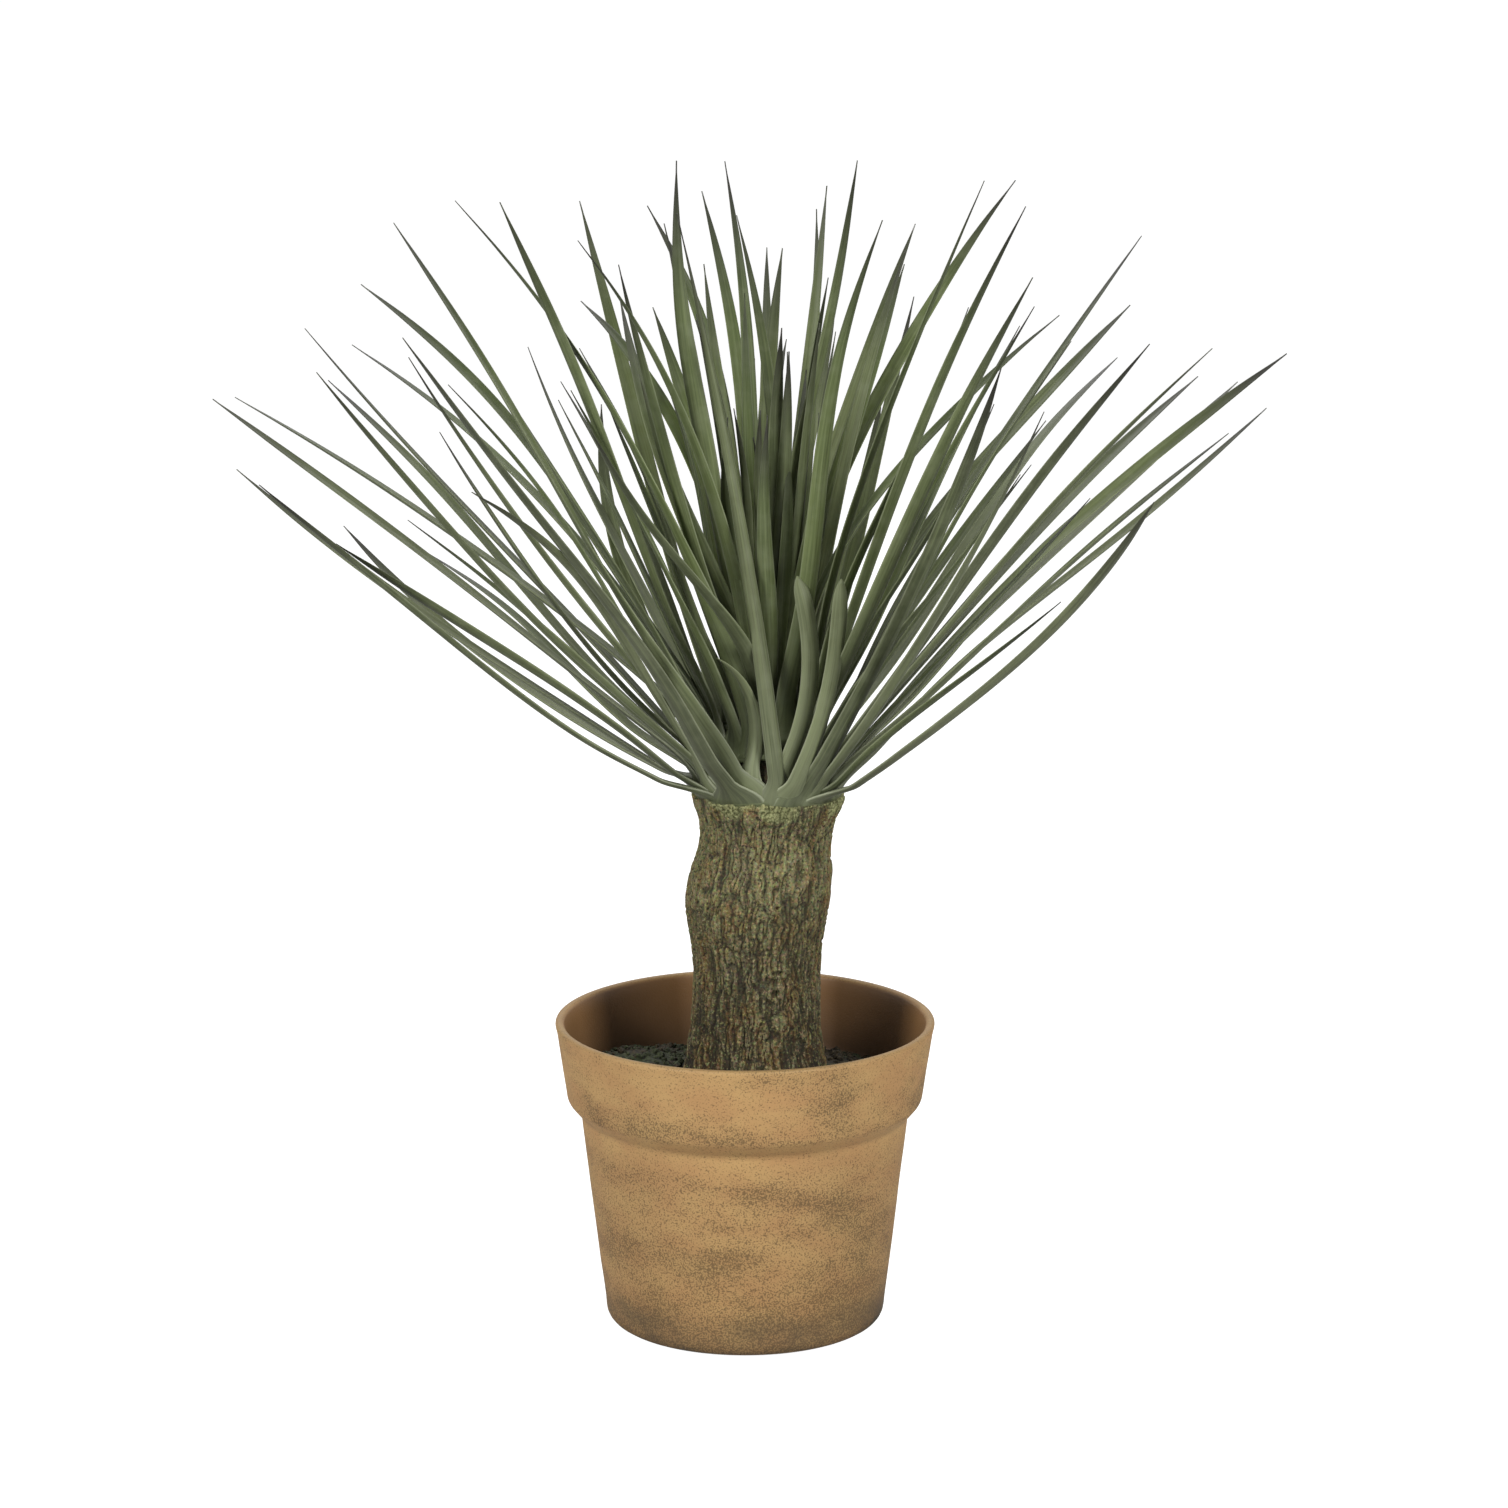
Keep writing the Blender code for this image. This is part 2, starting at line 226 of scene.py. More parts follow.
band_low = wall_radius(BAND_BOTTOM) + BAND_STEP
POT_CORNERS = (  # radius, height, rounding
    (PIVOT, 0.0, 0.0),
    (wall_radius(0.0), 0.0, 0.0062),
    (wall_radius(BAND_BOTTOM - 0.0070), BAND_BOTTOM - 0.0070, 0.0022),
    (wall_radius(BAND_BOTTOM) + 0.0016, BAND_BOTTOM - 0.0046, 0.0012),
    (band_low, BAND_BOTTOM - 0.0004, 0.0016),
    (POT_RADIUS, POT_HEIGHT, LIP),
    (POT_RADIUS - 2 * LIP, POT_HEIGHT, LIP),
    (band_low - POT_WALL, BAND_BOTTOM + 0.0010, 0.0030),
    (wall_radius(BAND_BOTTOM) - POT_WALL, BAND_BOTTOM - 0.0080, 0.0030),
    (wall_radius(POT_FLOOR) - POT_WALL, POT_FLOOR, 0.0040),
    (PIVOT, POT_FLOOR, 0.0),
)
outline = rounded(POT_CORNERS)
print("outline points:", len(outline))

# %% [markdown]
# The outline is cut finer where it is straight, so that the wall can carry the slight unevenness of a
# moulded clay look: a broad and a finer wave of noise, a few tenths of a millimetre deep, that die out at
# the foot and at the lip. The `inside` attribute tells the finish which side of the lip a point is on.

# %% Turn the pot
POT_COLUMNS = 224
POT_ROW_STEP = 0.0030  # no two rows of the pot are further apart


def refined(points, step):
    """The same outline with extra points, so that none are further apart than step."""
    gaps = np.linalg.norm(np.diff(points, axis=0), axis=1)
    pieces = [np.linspace(a, b, max(1, math.ceil(gap / step)), endpoint=False)
              for a, b, gap in zip(points, points[1:], gaps)]
    return np.concatenate(pieces + [points[-1:]])


def turned(points, segments):
    """Rings round the Z axis: (r cos a, r sin a, h) for each outline point (r, h) and each turn a."""
    turn = np.arange(segments) * 2 * math.pi / segments
    radius, height = points[:, :1], points[:, 1:]
    return np.stack([radius * np.cos(turn), radius * np.sin(turn), height + 0 * turn], axis=-1)


fine_outline = refined(outline, POT_ROW_STEP)
pot_rings = turned(fine_outline, POT_COLUMNS)
top_row = np.argmax(fine_outline[:, 1])
inside = ease(top_row + 3, top_row + 7, np.arange(len(fine_outline)))[:, None] + 0 * pot_rings[..., 0]
reach = np.linalg.norm(pot_rings[..., :2], axis=-1, keepdims=True)
sway = 0.00022 * noise(pot_rings, 0.035, 3) + 0.00008 * noise(pot_rings, 0.009, 4) - 0.00030
sway *= ease(0.004, 0.010, pot_rings[..., 2]) * ease(0.0, 0.006, POT_HEIGHT - pot_rings[..., 2])
pot_rings[..., :2] *= 1 + sway[..., None] / np.maximum(reach, 0.02)
print("pot rings:", pot_rings.shape[:2])

# %% [markdown]
# ### The pot's finish
#
# The tan is a little uneven, as sponged paint is. The dark paint sits in specks about half a millimetre
# across, drawn at 0.75 mm so that they show. They come from a fine noise: a speck is where it rises above a
# level. Everything else only moves that level. The wall has specks all over and the band has few. A broad
# noise, stretched round the pot and slightly tilted, says where the brush passed and left a dense patch, 2 to
# 5 cm long. Paint also gathered on the band's lower edge and round the foot, and none reached the groove
# under the band.
#
# Use has added to it: hands have darkened the lip. The lowest 2 cm are painted darker in brushed patches, as
# painted shade where little light reaches under the pot, and inside, the wall is painted darker towards the
# soil, as painted shade deep in the pot.

# %% Finish: sponged matt plastic
def sponged_plastic():
    """Matt moulded plastic: sponged ochre with brushed dark specks outside, plain brown inside."""
    material, tree = new_finish("sponged_matt_plastic")
    where = add(tree, "ShaderNodeTexCoord", out="Object")
    tilted = add(tree, "ShaderNodeMapping", {
        "Vector": where, "Rotation": (0.20, 0.30, 0), "Scale": (1, 1, 1.9)})
    brush = add(tree, "ShaderNodeTexNoise", {
        "Vector": tilted, "Scale": 22.0, "Detail": 4.0, "Roughness": 0.60})
    brushed = add(tree, "ShaderNodeMapRange", {
        "Value": brush, "From Min": 0.46, "From Max": 0.74, "To Max": 1.0})
    height = add(tree, "ShaderNodeSeparateXYZ", {"Vector": where}, out="Z")
    foot = add(tree, "ShaderNodeMapRange", {
        "Value": height, "From Min": 0.032, "From Max": 0.001, "To Max": 0.76})
    edge = add(tree, "ShaderNodeMapRange", {
        "Value": height, "From Min": 0.121, "From Max": 0.105, "To Max": 0.55})
    on_band = add(tree, "ShaderNodeMapRange", {"Value": height, "From Min": 0.1010, "From Max": 0.1025})
    below = add(tree, "ShaderNodeMapRange", {"Value": height, "From Min": 0.0930, "From Max": 0.0800})
    gathered = add(tree, "ShaderNodeMath", {0: edge, 1: on_band}, operation="MULTIPLY")
    spread = add(tree, "ShaderNodeMath", {0: gathered, 1: brush}, operation="MULTIPLY")
    even = add(tree, "ShaderNodeMath", {0: below, 1: 0.36, 2: foot}, operation="MULTIPLY_ADD")
    painted = add(tree, "ShaderNodeMath", {0: spread, 1: even}, operation="ADD")
    covered = add(tree, "ShaderNodeMath", {0: below, 1: on_band}, operation="ADD", use_clamp=True)
    strokes = add(tree, "ShaderNodeMath", {0: brushed, 1: covered}, operation="MULTIPLY")
    paint = add(tree, "ShaderNodeMath", {0: strokes, 1: painted}, operation="ADD", use_clamp=True)

    grain = add(tree, "ShaderNodeTexNoise", {
        "Vector": where, "Scale": 1350.0, "Detail": 1.0, "Roughness": 0.5})
    level = add(tree, "ShaderNodeMath", {0: paint, 1: 0.17, 2: grain}, operation="MULTIPLY_ADD")
    speck = add(tree, "ShaderNodeMapRange", {
        "Value": level, "From Min": 0.56, "From Max": 0.74, "To Max": 0.66})
    cloud = add(tree, "ShaderNodeTexNoise", {"Vector": tilted, "Scale": 50.0, "Detail": 3.0})
    clouded = add(tree, "ShaderNodeMapRange", {"Value": cloud, "From Min": 0.35, "From Max": 0.65})
    tan = add(tree, "ShaderNodeMix", {"Factor": clouded, "A": "#AF8757", "B": "#B6925E"}, data_type="RGBA")
    wash = add(tree, "ShaderNodeMath", {0: paint, 1: 0.28}, operation="MULTIPLY")
    washed = add(tree, "ShaderNodeMix", {"Factor": wash, "A": tan, "B": "#6A5730"}, data_type="RGBA")
    outside = add(tree, "ShaderNodeMix", {"Factor": speck, "A": washed, "B": "#43321C"}, data_type="RGBA")
    # painted shade: the lowest 2 cm are darkened in brushed patches, where little light reaches under the pot
    brushed_foot_shade = add(tree, "ShaderNodeMapRange", {
        "Value": brush, "From Min": 0.42, "From Max": 0.60, "To Min": 0.30})
    painted_foot_shade = add(tree, "ShaderNodeMapRange", {
        "Value": height, "From Min": 0.022, "From Max": 0.004, "To Max": 0.95})
    stained_and_shaded = add(tree, "ShaderNodeMath", {0: painted_foot_shade, 1: brushed_foot_shade}, operation="MULTIPLY")
    footed = add(tree, "ShaderNodeMix", {"Factor": stained_and_shaded, "A": outside, "B": "#3A3226"}, data_type="RGBA")
    lip = add(tree, "ShaderNodeMapRange", {
        "Value": height, "From Min": POT_HEIGHT - 0.0016, "From Max": POT_HEIGHT, "To Max": 0.55})
    rubbed = add(tree, "ShaderNodeMix", {"Factor": lip, "A": footed, "B": "#6E5B38"}, data_type="RGBA")
    # painted shade: the inside wall is darkened towards the soil
    painted_inner_shade = add(tree, "ShaderNodeMapRange", {
        "Value": height, "From Min": 0.136, "From Max": 0.108, "To Max": 0.62})
    lining = add(tree, "ShaderNodeMix", {"Factor": painted_inner_shade, "A": "#83603A", "B": "#41342A"}, data_type="RGBA")
    inner = add(tree, "ShaderNodeAttribute", attribute_name="inside", out="Fac")
    colour = add(tree, "ShaderNodeMix", {"Factor": inner, "A": rubbed, "B": lining}, data_type="RGBA")
    gloss = add(tree, "ShaderNodeMapRange", {"Value": inner, "To Min": 0.66, "To Max": 0.42})
    bump = add(tree, "ShaderNodeBump", {"Height": grain, "Strength": 0.30, "Distance": 0.0003})
    shader = add(tree, "ShaderNodeBsdfPrincipled", {
        "Base Color": colour, "Roughness": gloss, "Normal": bump, "IOR": 1.49})
    add(tree, "ShaderNodeOutputMaterial", {"Surface": shader})
    return material


pot = closed_skin("pot_shell", pot_rings, sponged_plastic(), {"inside": inside})
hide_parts("pot")
print("pot faces:", len(pot.data.polygons))

# %% [markdown]
# ## The trunk
#
# The trunk is a short woody stem under olive-brown bark. The bark is a coat of upright fibres 1.5 to 3 mm
# wide and 7 to 14 mm long, that wander, split and join, with dark furrows between them. It is greener and
# paler near the top, where a ragged mossy rim meets the lowest leaves, and darker down in the pot.
#
# A displaced cylinder with an image would be the usual shortcut. Here the furrows come from noise on the
# unrolled stem, stretched upright: wherever the noise changes sign there is a furrow, and between two
# furrows it swells into a fibre. Bending the coordinates with a slower noise first makes them wander.

# %% The trunk's outline
trunk_low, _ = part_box("trunk")
TRUNK_BOTTOM = trunk_low.z
SOIL_LEVEL = 0.106
TRUNK_FOOT = 0.0052  # how far right of the pot's middle the trunk stands
TRUNK_BEND = 0.0050  # how far its top drifts right
TRUNK_BEND_LEVEL = 0.180
HEAD_LEVEL = 0.240  # where the stem turns into the domed head that the leaves sit on
HEAD_RADIUS = 0.0290
HEAD_HEIGHT = 0.0400
TRUNK_PROFILE = (  # (height, mean radius): flared foot, slim stretch, swelling, waist and flared top
    (0.050, 0.0290),
    (0.102, 0.0325),
    (0.108, 0.0330),
    (0.120, 0.0308),
    (0.134, 0.0285),
    (0.150, 0.0277),
    (0.170, 0.0280),
    (0.183, 0.0306),
    (0.194, 0.0320),
    (0.206, 0.0313),
    (0.219, 0.0288),
    (0.229, 0.0296),
    (0.238, 0.0335),
)


def trunk_centre(height):
    """The middle of the trunk: straight up from the foot, then an eased drift to the right."""
    return TRUNK_FOOT + TRUNK_BEND * ease(TRUNK_BEND_LEVEL, HEAD_LEVEL, height)


def trunk_radius(height):
    """The trunk's mean radius: its profile, averaged over 6 mm of height to round the corners."""
    levels, radii = zip(*TRUNK_PROFILE)
    offsets = np.linspace(-0.003, 0.003, 7)
    return np.mean([np.interp(height + offset, levels, radii) for offset in offsets], axis=0)


print("trunk across the waist:", round(2 * float(trunk_radius(np.array(0.219))) * 1000, 1), "mm")

# %% Bark relief
FIBRE_WIDTH = 0.0015  # spacing of the noise's lattice; a fibre is one or two of them wide
FIBRE_STRETCH = 4.6  # how many times longer than wide a fibre is
STEM_RADIUS = 0.030  # the stem's usual radius, on which its skin is unrolled
BARK_COLUMNS = 440
BURIED_ROWS = 8  # plain rows below the soil
BARK_ROWS = 196
BARK_START = 0.0985  # the bark's fine rows start a little below the soil
RIM_LEVEL = 0.2405  # the stem's bark ends here, in a mossy rim round the lowest leaves
RIM_LIFT = 0.0022  # how much higher that rim is at the front


def stem_skin(turn, height):
    """Points on a plain cylinder of the stem's radius: (R cos a, R sin a, h)."""
    return np.stack([np.cos(turn) * STEM_RADIUS, np.sin(turn) * STEM_RADIUS, height], axis=-1)


def fibres(turn, height, width, seed):
    """0 in a furrow and 1 on a fibre: |n| / 0.4 held to 1, with n noise on the stem's skin, whose heights are
    divided by FIBRE_STRETCH so that its cells stand upright."""
    return np.clip(np.abs(noise(stem_skin(turn, height / FIBRE_STRETCH), width, seed)) / 0.4, 0, 1)


rows = np.concatenate([
    np.linspace(TRUNK_BOTTOM, BARK_START, BURIED_ROWS, endpoint=False),
    np.linspace(BARK_START, RIM_LEVEL, BARK_ROWS),
])
turn, height = np.meshgrid(np.arange(BARK_COLUMNS) * 2 * math.pi / BARK_COLUMNS, rows)
around = stem_skin(turn, height)
bent = turn + 0.034 * noise(around, 0.0085, 11) + 0.026 * noise(around, 0.0034, 12)
lifted = height + 0.0040 * noise(around, 0.0050, 13)
relief = fibres(bent, lifted, FIBRE_WIDTH, 14) * (0.55 + 0.45 * fibres(bent, lifted, FIBRE_WIDTH * 0.6, 15))
print("mean bark relief:", round(float(relief.mean()), 3))

# %% [markdown]
# The stem also carries a few old scars where leaves were shed: oval loops, small knots and low lips. They
# could be carved in sculpt mode, but a formula keeps them as sharp as the bark's grid allows. Each is a
# raised ring round a sunken middle. With e the distance from its middle in units of its half width and half
# height, the ring is exp(-((e - 1) / 0.35)^2) and the hollow exp(-(e / 0.7)^2).

# %% Make the trunk
SCARS = (  # bearing in degrees, height, half width, half height
    (302, 0.2110, 0.0042, 0.0075),
    (284, 0.1964, 0.0016, 0.0018),
    (289, 0.1660, 0.0046, 0.0018),
    (287, 0.1565, 0.0034, 0.0028),
    (214, 0.1790, 0.0030, 0.0026),
    (76, 0.2010, 0.0040, 0.0060),
    (138, 0.1540, 0.0042, 0.0020),
)
scars = np.zeros(turn.shape)
for bearing, level, half_wide, half_tall in SCARS:
    sideways = (turn - math.radians(bearing) + math.pi) % (2 * math.pi) - math.pi
    away = np.hypot(sideways * STEM_RADIUS / half_wide, (height - level) / half_tall)
    ring = np.exp(-(((away - 1) / 0.35) ** 2))
    hollow = np.exp(-((away / 0.7) ** 2))
    scars += ring - 0.9 * hollow
    relief = np.clip(relief * (1 - 0.45 * hollow) + 0.45 * ring, 0, 1)

lumps = 0.010 * (np.sin(3 * turn + 40 * height) + 0.6 * np.sin(5 * turn - 65 * height))
swell = 0.0008 * noise(around, 0.020, 21) + 0.0004 * noise(around, 0.008, 22)
radius = trunk_radius(height) * (1 + lumps) + swell + 0.0014 * (relief - 0.55) + 0.0007 * scars
rim = ease(RIM_LEVEL - 0.0060, RIM_LEVEL - 0.0010, height)
radius += rim * (0.0010 * noise(around, 0.0040, 23) + 0.0004)
lift = RIM_LIFT * ease(-0.2, 0.9, -np.sin(turn))
ragged = height + rim * (lift + 0.0014 * noise(around, 0.0050, 24) + 0.0007 * noise(around, 0.0020, 26))
stem = np.stack([trunk_centre(height) + radius * np.cos(turn), radius * np.sin(turn), ragged], axis=-1)

dome_angle = np.radians(np.linspace(0, 87, 12))[:, None]
dome = np.stack([
    trunk_centre(HEAD_LEVEL) + HEAD_RADIUS * np.cos(dome_angle) * np.cos(turn[:1]),
    HEAD_RADIUS * np.cos(dome_angle) * np.sin(turn[:1]),
    HEAD_LEVEL + HEAD_HEIGHT * np.sin(dome_angle) + 0 * turn[:1],
], axis=-1)
bark_rings = np.concatenate([stem, dome])
# painted shade: no relief and no moss on the dome, so it is painted furrow dark, as shade between leaves
shaded_dome_rows = np.zeros(dome.shape[:2])
patchy = 0.0050 * noise(around, 0.0055, 25) + 0.0030 * noise(around, 0.0022, 27)
mossy = ease(RIM_LEVEL - 0.0048, RIM_LEVEL - 0.0004, height + patchy)
bark_values = {
    "relief": np.concatenate([relief, shaded_dome_rows]),
    "moss": np.concatenate([mossy, shaded_dome_rows]),
}
print("trunk rings:", bark_rings.shape[:2])

# %% [markdown]
# ### The bark's finish
#
# Bark is dull and takes almost no highlight. Its colour follows its relief: the furrows are painted nearly
# black, as painted shade in the creases, and the fibres are weathered olive brown with pale crests, partly
# worn and partly a painted highlight. Stretched noise lays rusty brown stains on it, half a centimetre wide.
# Pale and dark grit, 1.2 mm across, is drawn about twice as coarse as the real one so that it shows. Lichen
# adds a grain of many dull colours of about that size, which an overlay with coloured noise gives in one
# step. Low down it is painted darker and browner, partly its own colour and partly painted shade of the
# pot. The head's dome above the rim is painted furrow dark, as painted shade between the leaf bases. The
# mossy rim is yellow green.

# %% Finish: bark
def bark():
    """Fissured bark: furrows in painted shade, olive-brown fibres whose pale crests are partly worn and
    partly painted highlights, rusty stains and a mossy top.
    """
    material, tree = new_finish("fissured_bark")
    where = add(tree, "ShaderNodeTexCoord", out="Object")
    relief_value = add(tree, "ShaderNodeAttribute", attribute_name="relief", out="Fac")
    moss_value = add(tree, "ShaderNodeAttribute", attribute_name="moss", out="Fac")
    upright = add(tree, "ShaderNodeMapping", {"Vector": where, "Scale": (1, 1, 0.3)})
    fine = add(tree, "ShaderNodeTexNoise", {
        "Vector": upright, "Scale": 800.0, "Detail": 2.0, "Roughness": 0.6})
    broad = add(tree, "ShaderNodeTexNoise", {
        "Vector": upright, "Scale": 150.0, "Detail": 3.0, "Roughness": 0.6})
    grit = add(tree, "ShaderNodeTexNoise", {
        "Vector": where, "Scale": 820.0, "Detail": 2.0, "Roughness": 0.6})
    lichen = add(tree, "ShaderNodeTexNoise", {
        "Vector": where, "Scale": 760.0, "Detail": 1.0, "Roughness": 0.5}, out="Color")
    height_value = add(tree, "ShaderNodeSeparateXYZ", {"Vector": where}, out="Z")
    # darker low down: partly the bark's own colour, partly painted shade of the pot
    up = add(tree, "ShaderNodeMapRange", {"Value": height_value, "From Min": 0.110, "From Max": 0.215})
    body = add(tree, "ShaderNodeMix", {"Factor": up, "A": "#312817", "B": "#676242"}, data_type="RGBA")
    stain_and_shade = add(tree, "ShaderNodeMapRange", {
        "Value": broad, "From Min": 0.50, "From Max": 0.66, "To Max": 0.60})
    stained_and_shaded = add(tree, "ShaderNodeMix", {"Factor": stain_and_shade, "A": body, "B": "#664A22"}, data_type="RGBA")
    shade = add(tree, "ShaderNodeMapRange", {
        "Value": broad, "From Min": 0.46, "From Max": 0.34, "To Max": 0.5})
    shaded = add(tree, "ShaderNodeMix", {"Factor": shade, "A": stained_and_shaded, "B": "#3B362C"}, data_type="RGBA")
    # pale crests: partly wear, partly a painted highlight on the fibres
    crest = add(tree, "ShaderNodeMapRange", {
        "Value": relief_value, "From Min": 0.65, "From Max": 1.0, "To Max": 0.52})
    wear_and_highlight = add(tree, "ShaderNodeMath", {0: crest, 1: fine}, operation="MULTIPLY")
    crested = add(tree, "ShaderNodeMix", {"Factor": wear_and_highlight, "A": shaded, "B": "#A89F74"}, data_type="RGBA")
    speckle = add(tree, "ShaderNodeMapRange", {
        "Value": grit, "From Min": 0.57, "From Max": 0.69, "To Max": 0.62})
    speckled = add(tree, "ShaderNodeMix", {"Factor": speckle, "A": crested, "B": "#A39A6C"}, data_type="RGBA")
    pit = add(tree, "ShaderNodeMapRange", {
        "Value": grit, "From Min": 0.46, "From Max": 0.34, "To Max": 0.90})
    pitted = add(tree, "ShaderNodeMix", {"Factor": pit, "A": speckled, "B": "#231E15"}, data_type="RGBA")
    # painted shade: the furrows are darkened as shade in the creases
    furrow_shade = add(tree, "ShaderNodeMapRange", {
        "Value": relief_value, "From Min": 0.50, "From Max": 0.05, "To Max": 0.80})
    furrow_shaded = add(tree, "ShaderNodeMix", {"Factor": furrow_shade, "A": pitted, "B": "#1C170F"}, data_type="RGBA")
    grained = add(tree, "ShaderNodeMix", {
        "Factor": 0.50, "A": furrow_shaded, "B": lichen}, data_type="RGBA", blend_type="OVERLAY")
    tuft_light = add(tree, "ShaderNodeMapRange", {"Value": grit, "From Min": 0.38, "From Max": 0.64})
    tuft = add(tree, "ShaderNodeMix", {
        "Factor": tuft_light, "A": "#4C4F2D", "B": "#9C9F70"}, data_type="RGBA")
    moss_share = add(tree, "ShaderNodeMath", {0: moss_value, 1: 0.80}, operation="MULTIPLY")
    colour = add(tree, "ShaderNodeMix", {"Factor": moss_share, "A": grained, "B": tuft}, data_type="RGBA")
    bump = add(tree, "ShaderNodeBump", {"Height": grit, "Strength": 0.9, "Distance": 0.0010})
    shader = add(tree, "ShaderNodeBsdfPrincipled", {
        "Base Color": colour, "Roughness": 0.88, "Normal": bump, "IOR": 1.40})
    add(tree, "ShaderNodeOutputMaterial", {"Surface": shader})
    return material


trunk = closed_skin("barked_trunk", bark_rings, bark(), bark_values)
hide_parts("trunk")
print("trunk faces:", len(trunk.data.polygons))

# %% [markdown]
# ## The soil
#
# The pot is filled with dark, damp potting compost, heaped a little on the left and at the back, with bits
# of moss on it. It is made in two pieces: a bed whose top is roughened by three sizes of noise, and 1500
# loose crumbs, 1 to 4 mm across, lying on it. A crumb is an icosahedron of 20 faces, stretched and dented at
# random: that is plain enough to repeat so often, and from above nobody sees its edges. A particle system
# would scatter them too, but it would have to be turned into real pieces afterwards.

# %% The soil bed
POT_GAP = 0.0006  # between the soil and the pot
SOIL_COLUMNS = 300
SOIL_ROWS = 84
HEAP_SIZE = 0.024  # the heap's spread s


def soil_height(x, y):
    """The level plus one heap, exp(-distance^2 / 2s^2), and a faint ripple, as on the frame's solid."""
    heap = 0.0095 * np.exp(-((x + 0.050) ** 2 + (y - 0.018) ** 2) / (2 * HEAP_SIZE**2))
    return SOIL_LEVEL + heap + 0.0009 * np.sin(170 * x + 1.0) * np.sin(150 * y + 0.4)


soil_edge = wall_radius(SOIL_LEVEL) + BAND_STEP * 0.35 - POT_WALL - POT_GAP
soil_inner = float(trunk_radius(np.array(SOIL_LEVEL))) - 0.0010
share = np.linspace(0, 1, SOIL_ROWS)[:, None]
spin = np.arange(SOIL_COLUMNS)[None, :] * 2 * math.pi / SOIL_COLUMNS
top_x = (1 - share) * soil_edge * np.cos(spin) + share * (TRUNK_FOOT + soil_inner * np.cos(spin))
top_y = ((1 - share) * soil_edge + share * soil_inner) * np.sin(spin)
top = np.stack([top_x, top_y, soil_height(top_x, top_y)], axis=-1)
rough = 0.0011 * noise(top, 0.0060, 31) + 0.0009 * np.abs(noise(top, 0.0031, 32))
rough += 0.0005 * noise(top, 0.0016, 33)
top[..., 2] += rough * ease(0, 0.04, share)


def level_ring(radius, height, middle=0.0):
    """One level ring (m + r cos a, r sin a, h), shaped (1, SOIL_COLUMNS, 3)."""
    return np.stack([middle + radius * np.cos(spin), radius * np.sin(spin), height + 0 * spin], axis=-1)


soil_rings = np.concatenate([
    level_ring(wall_radius(POT_FLOOR) - POT_WALL - 0.0040, POT_FLOOR + POT_GAP),
    level_ring(wall_radius(POT_FLOOR + 0.005) - POT_WALL - POT_GAP, POT_FLOOR + 0.0055),
    level_ring(wall_radius(BAND_BOTTOM) - POT_WALL - 2 * POT_GAP, BAND_BOTTOM - 0.0090),
    top,
    level_ring(soil_inner, SOIL_LEVEL - 0.006, TRUNK_FOOT),
    level_ring(0.0285, TRUNK_BOTTOM + POT_GAP, TRUNK_FOOT),
])
print("soil top from", round(float(top[..., 2].min()), 4), "to", round(float(top[..., 2].max()), 4))

# %% Loose crumbs
CRUMBS = 1500


def icosahedron():
    """Its 12 corners, the even turns of (0, 1, golden ratio) with all signs, and its 20 faces, which are the
    triples of corners that are all one edge length, 2, apart, ordered to face outwards."""
    golden = (1 + 5**0.5) / 2
    signs = [(0, a, b * golden) for a in (1, -1) for b in (1, -1)]
    corners = np.array([np.roll(s, k) for s in signs for k in range(3)], float)
    faces = []
    for a, b, c in itertools.combinations(range(12), 3):
        p, q, r = corners[[a, b, c]]
        if max(np.linalg.norm(p - q), np.linalg.norm(q - r), np.linalg.norm(r - p)) < 2.1:
            faces.append((a, b, c) if np.dot(np.cross(q - p, r - p), p) > 0 else (a, c, b))
    return unit(corners), np.array(faces)


def scattered(count, rng):
    """Random places on the soil between the trunk and the pot, an even number for each patch of area: the
    square of the distance from the middle is drawn evenly, not the distance."""
    nearest = trunk_radius(np.array(SOIL_LEVEL)) + 0.001
    distance = np.sqrt(rng.uniform(nearest**2, (soil_edge - 0.001) ** 2, count))
    angle = rng.uniform(0, 2 * math.pi, count)
    x, y = distance * np.cos(angle), distance * np.sin(angle)
    x += TRUNK_FOOT * (1 - (distance - STEM_RADIUS) / (soil_edge - STEM_RADIUS))
    return np.stack([x, y, soil_height(x, y)], axis=-1)


rng = np.random.default_rng(41)
corners, faces = icosahedron()
places = scattered(CRUMBS, rng)
size = 0.0006 + 0.0014 * rng.random((CRUMBS, 1, 1)) ** 2.0
stretch = rng.uniform(0.6, 1.5, (CRUMBS, 1, 3))
dents = rng.uniform(0.7, 1.2, (CRUMBS, 12, 1))
tilt, _ = np.linalg.qr(rng.normal(size=(CRUMBS, 3, 3)))
tilt *= np.sign(np.linalg.det(tilt))[:, None, None]
crumb_points = (corners[None] * dents * stretch * size) @ tilt + places[:, None, :] + (0, 0, 0.0006)
crumb_faces = faces[None] + 12 * np.arange(CRUMBS)[:, None, None]
crumb_mesh = bpy.data.meshes.new("soil_crumbs")
crumb_mesh.from_pydata(crumb_points.reshape(-1, 3).tolist(), [], crumb_faces.reshape(-1, 3).tolist())
mossy_crumb = rng.random(CRUMBS) + 3 * (places[:, 0] < 0) * rng.random(CRUMBS) > 1.1  # most are on the left
mossiness = np.repeat(mossy_crumb.astype(np.float32), 12)
crumb_mesh.attributes.new("moss", "FLOAT", "POINT").data.foreach_set("value", mossiness)
print("crumb corners:", len(crumb_mesh.vertices))

# %% [markdown]
# ### The soil's finish
#
# Damp compost is nearly black, with brown fibres and dull dark green moss. Its roughness is high, but it
# is damp, so it isn't the full value of dry earth. Its grain is 1.4 mm across.

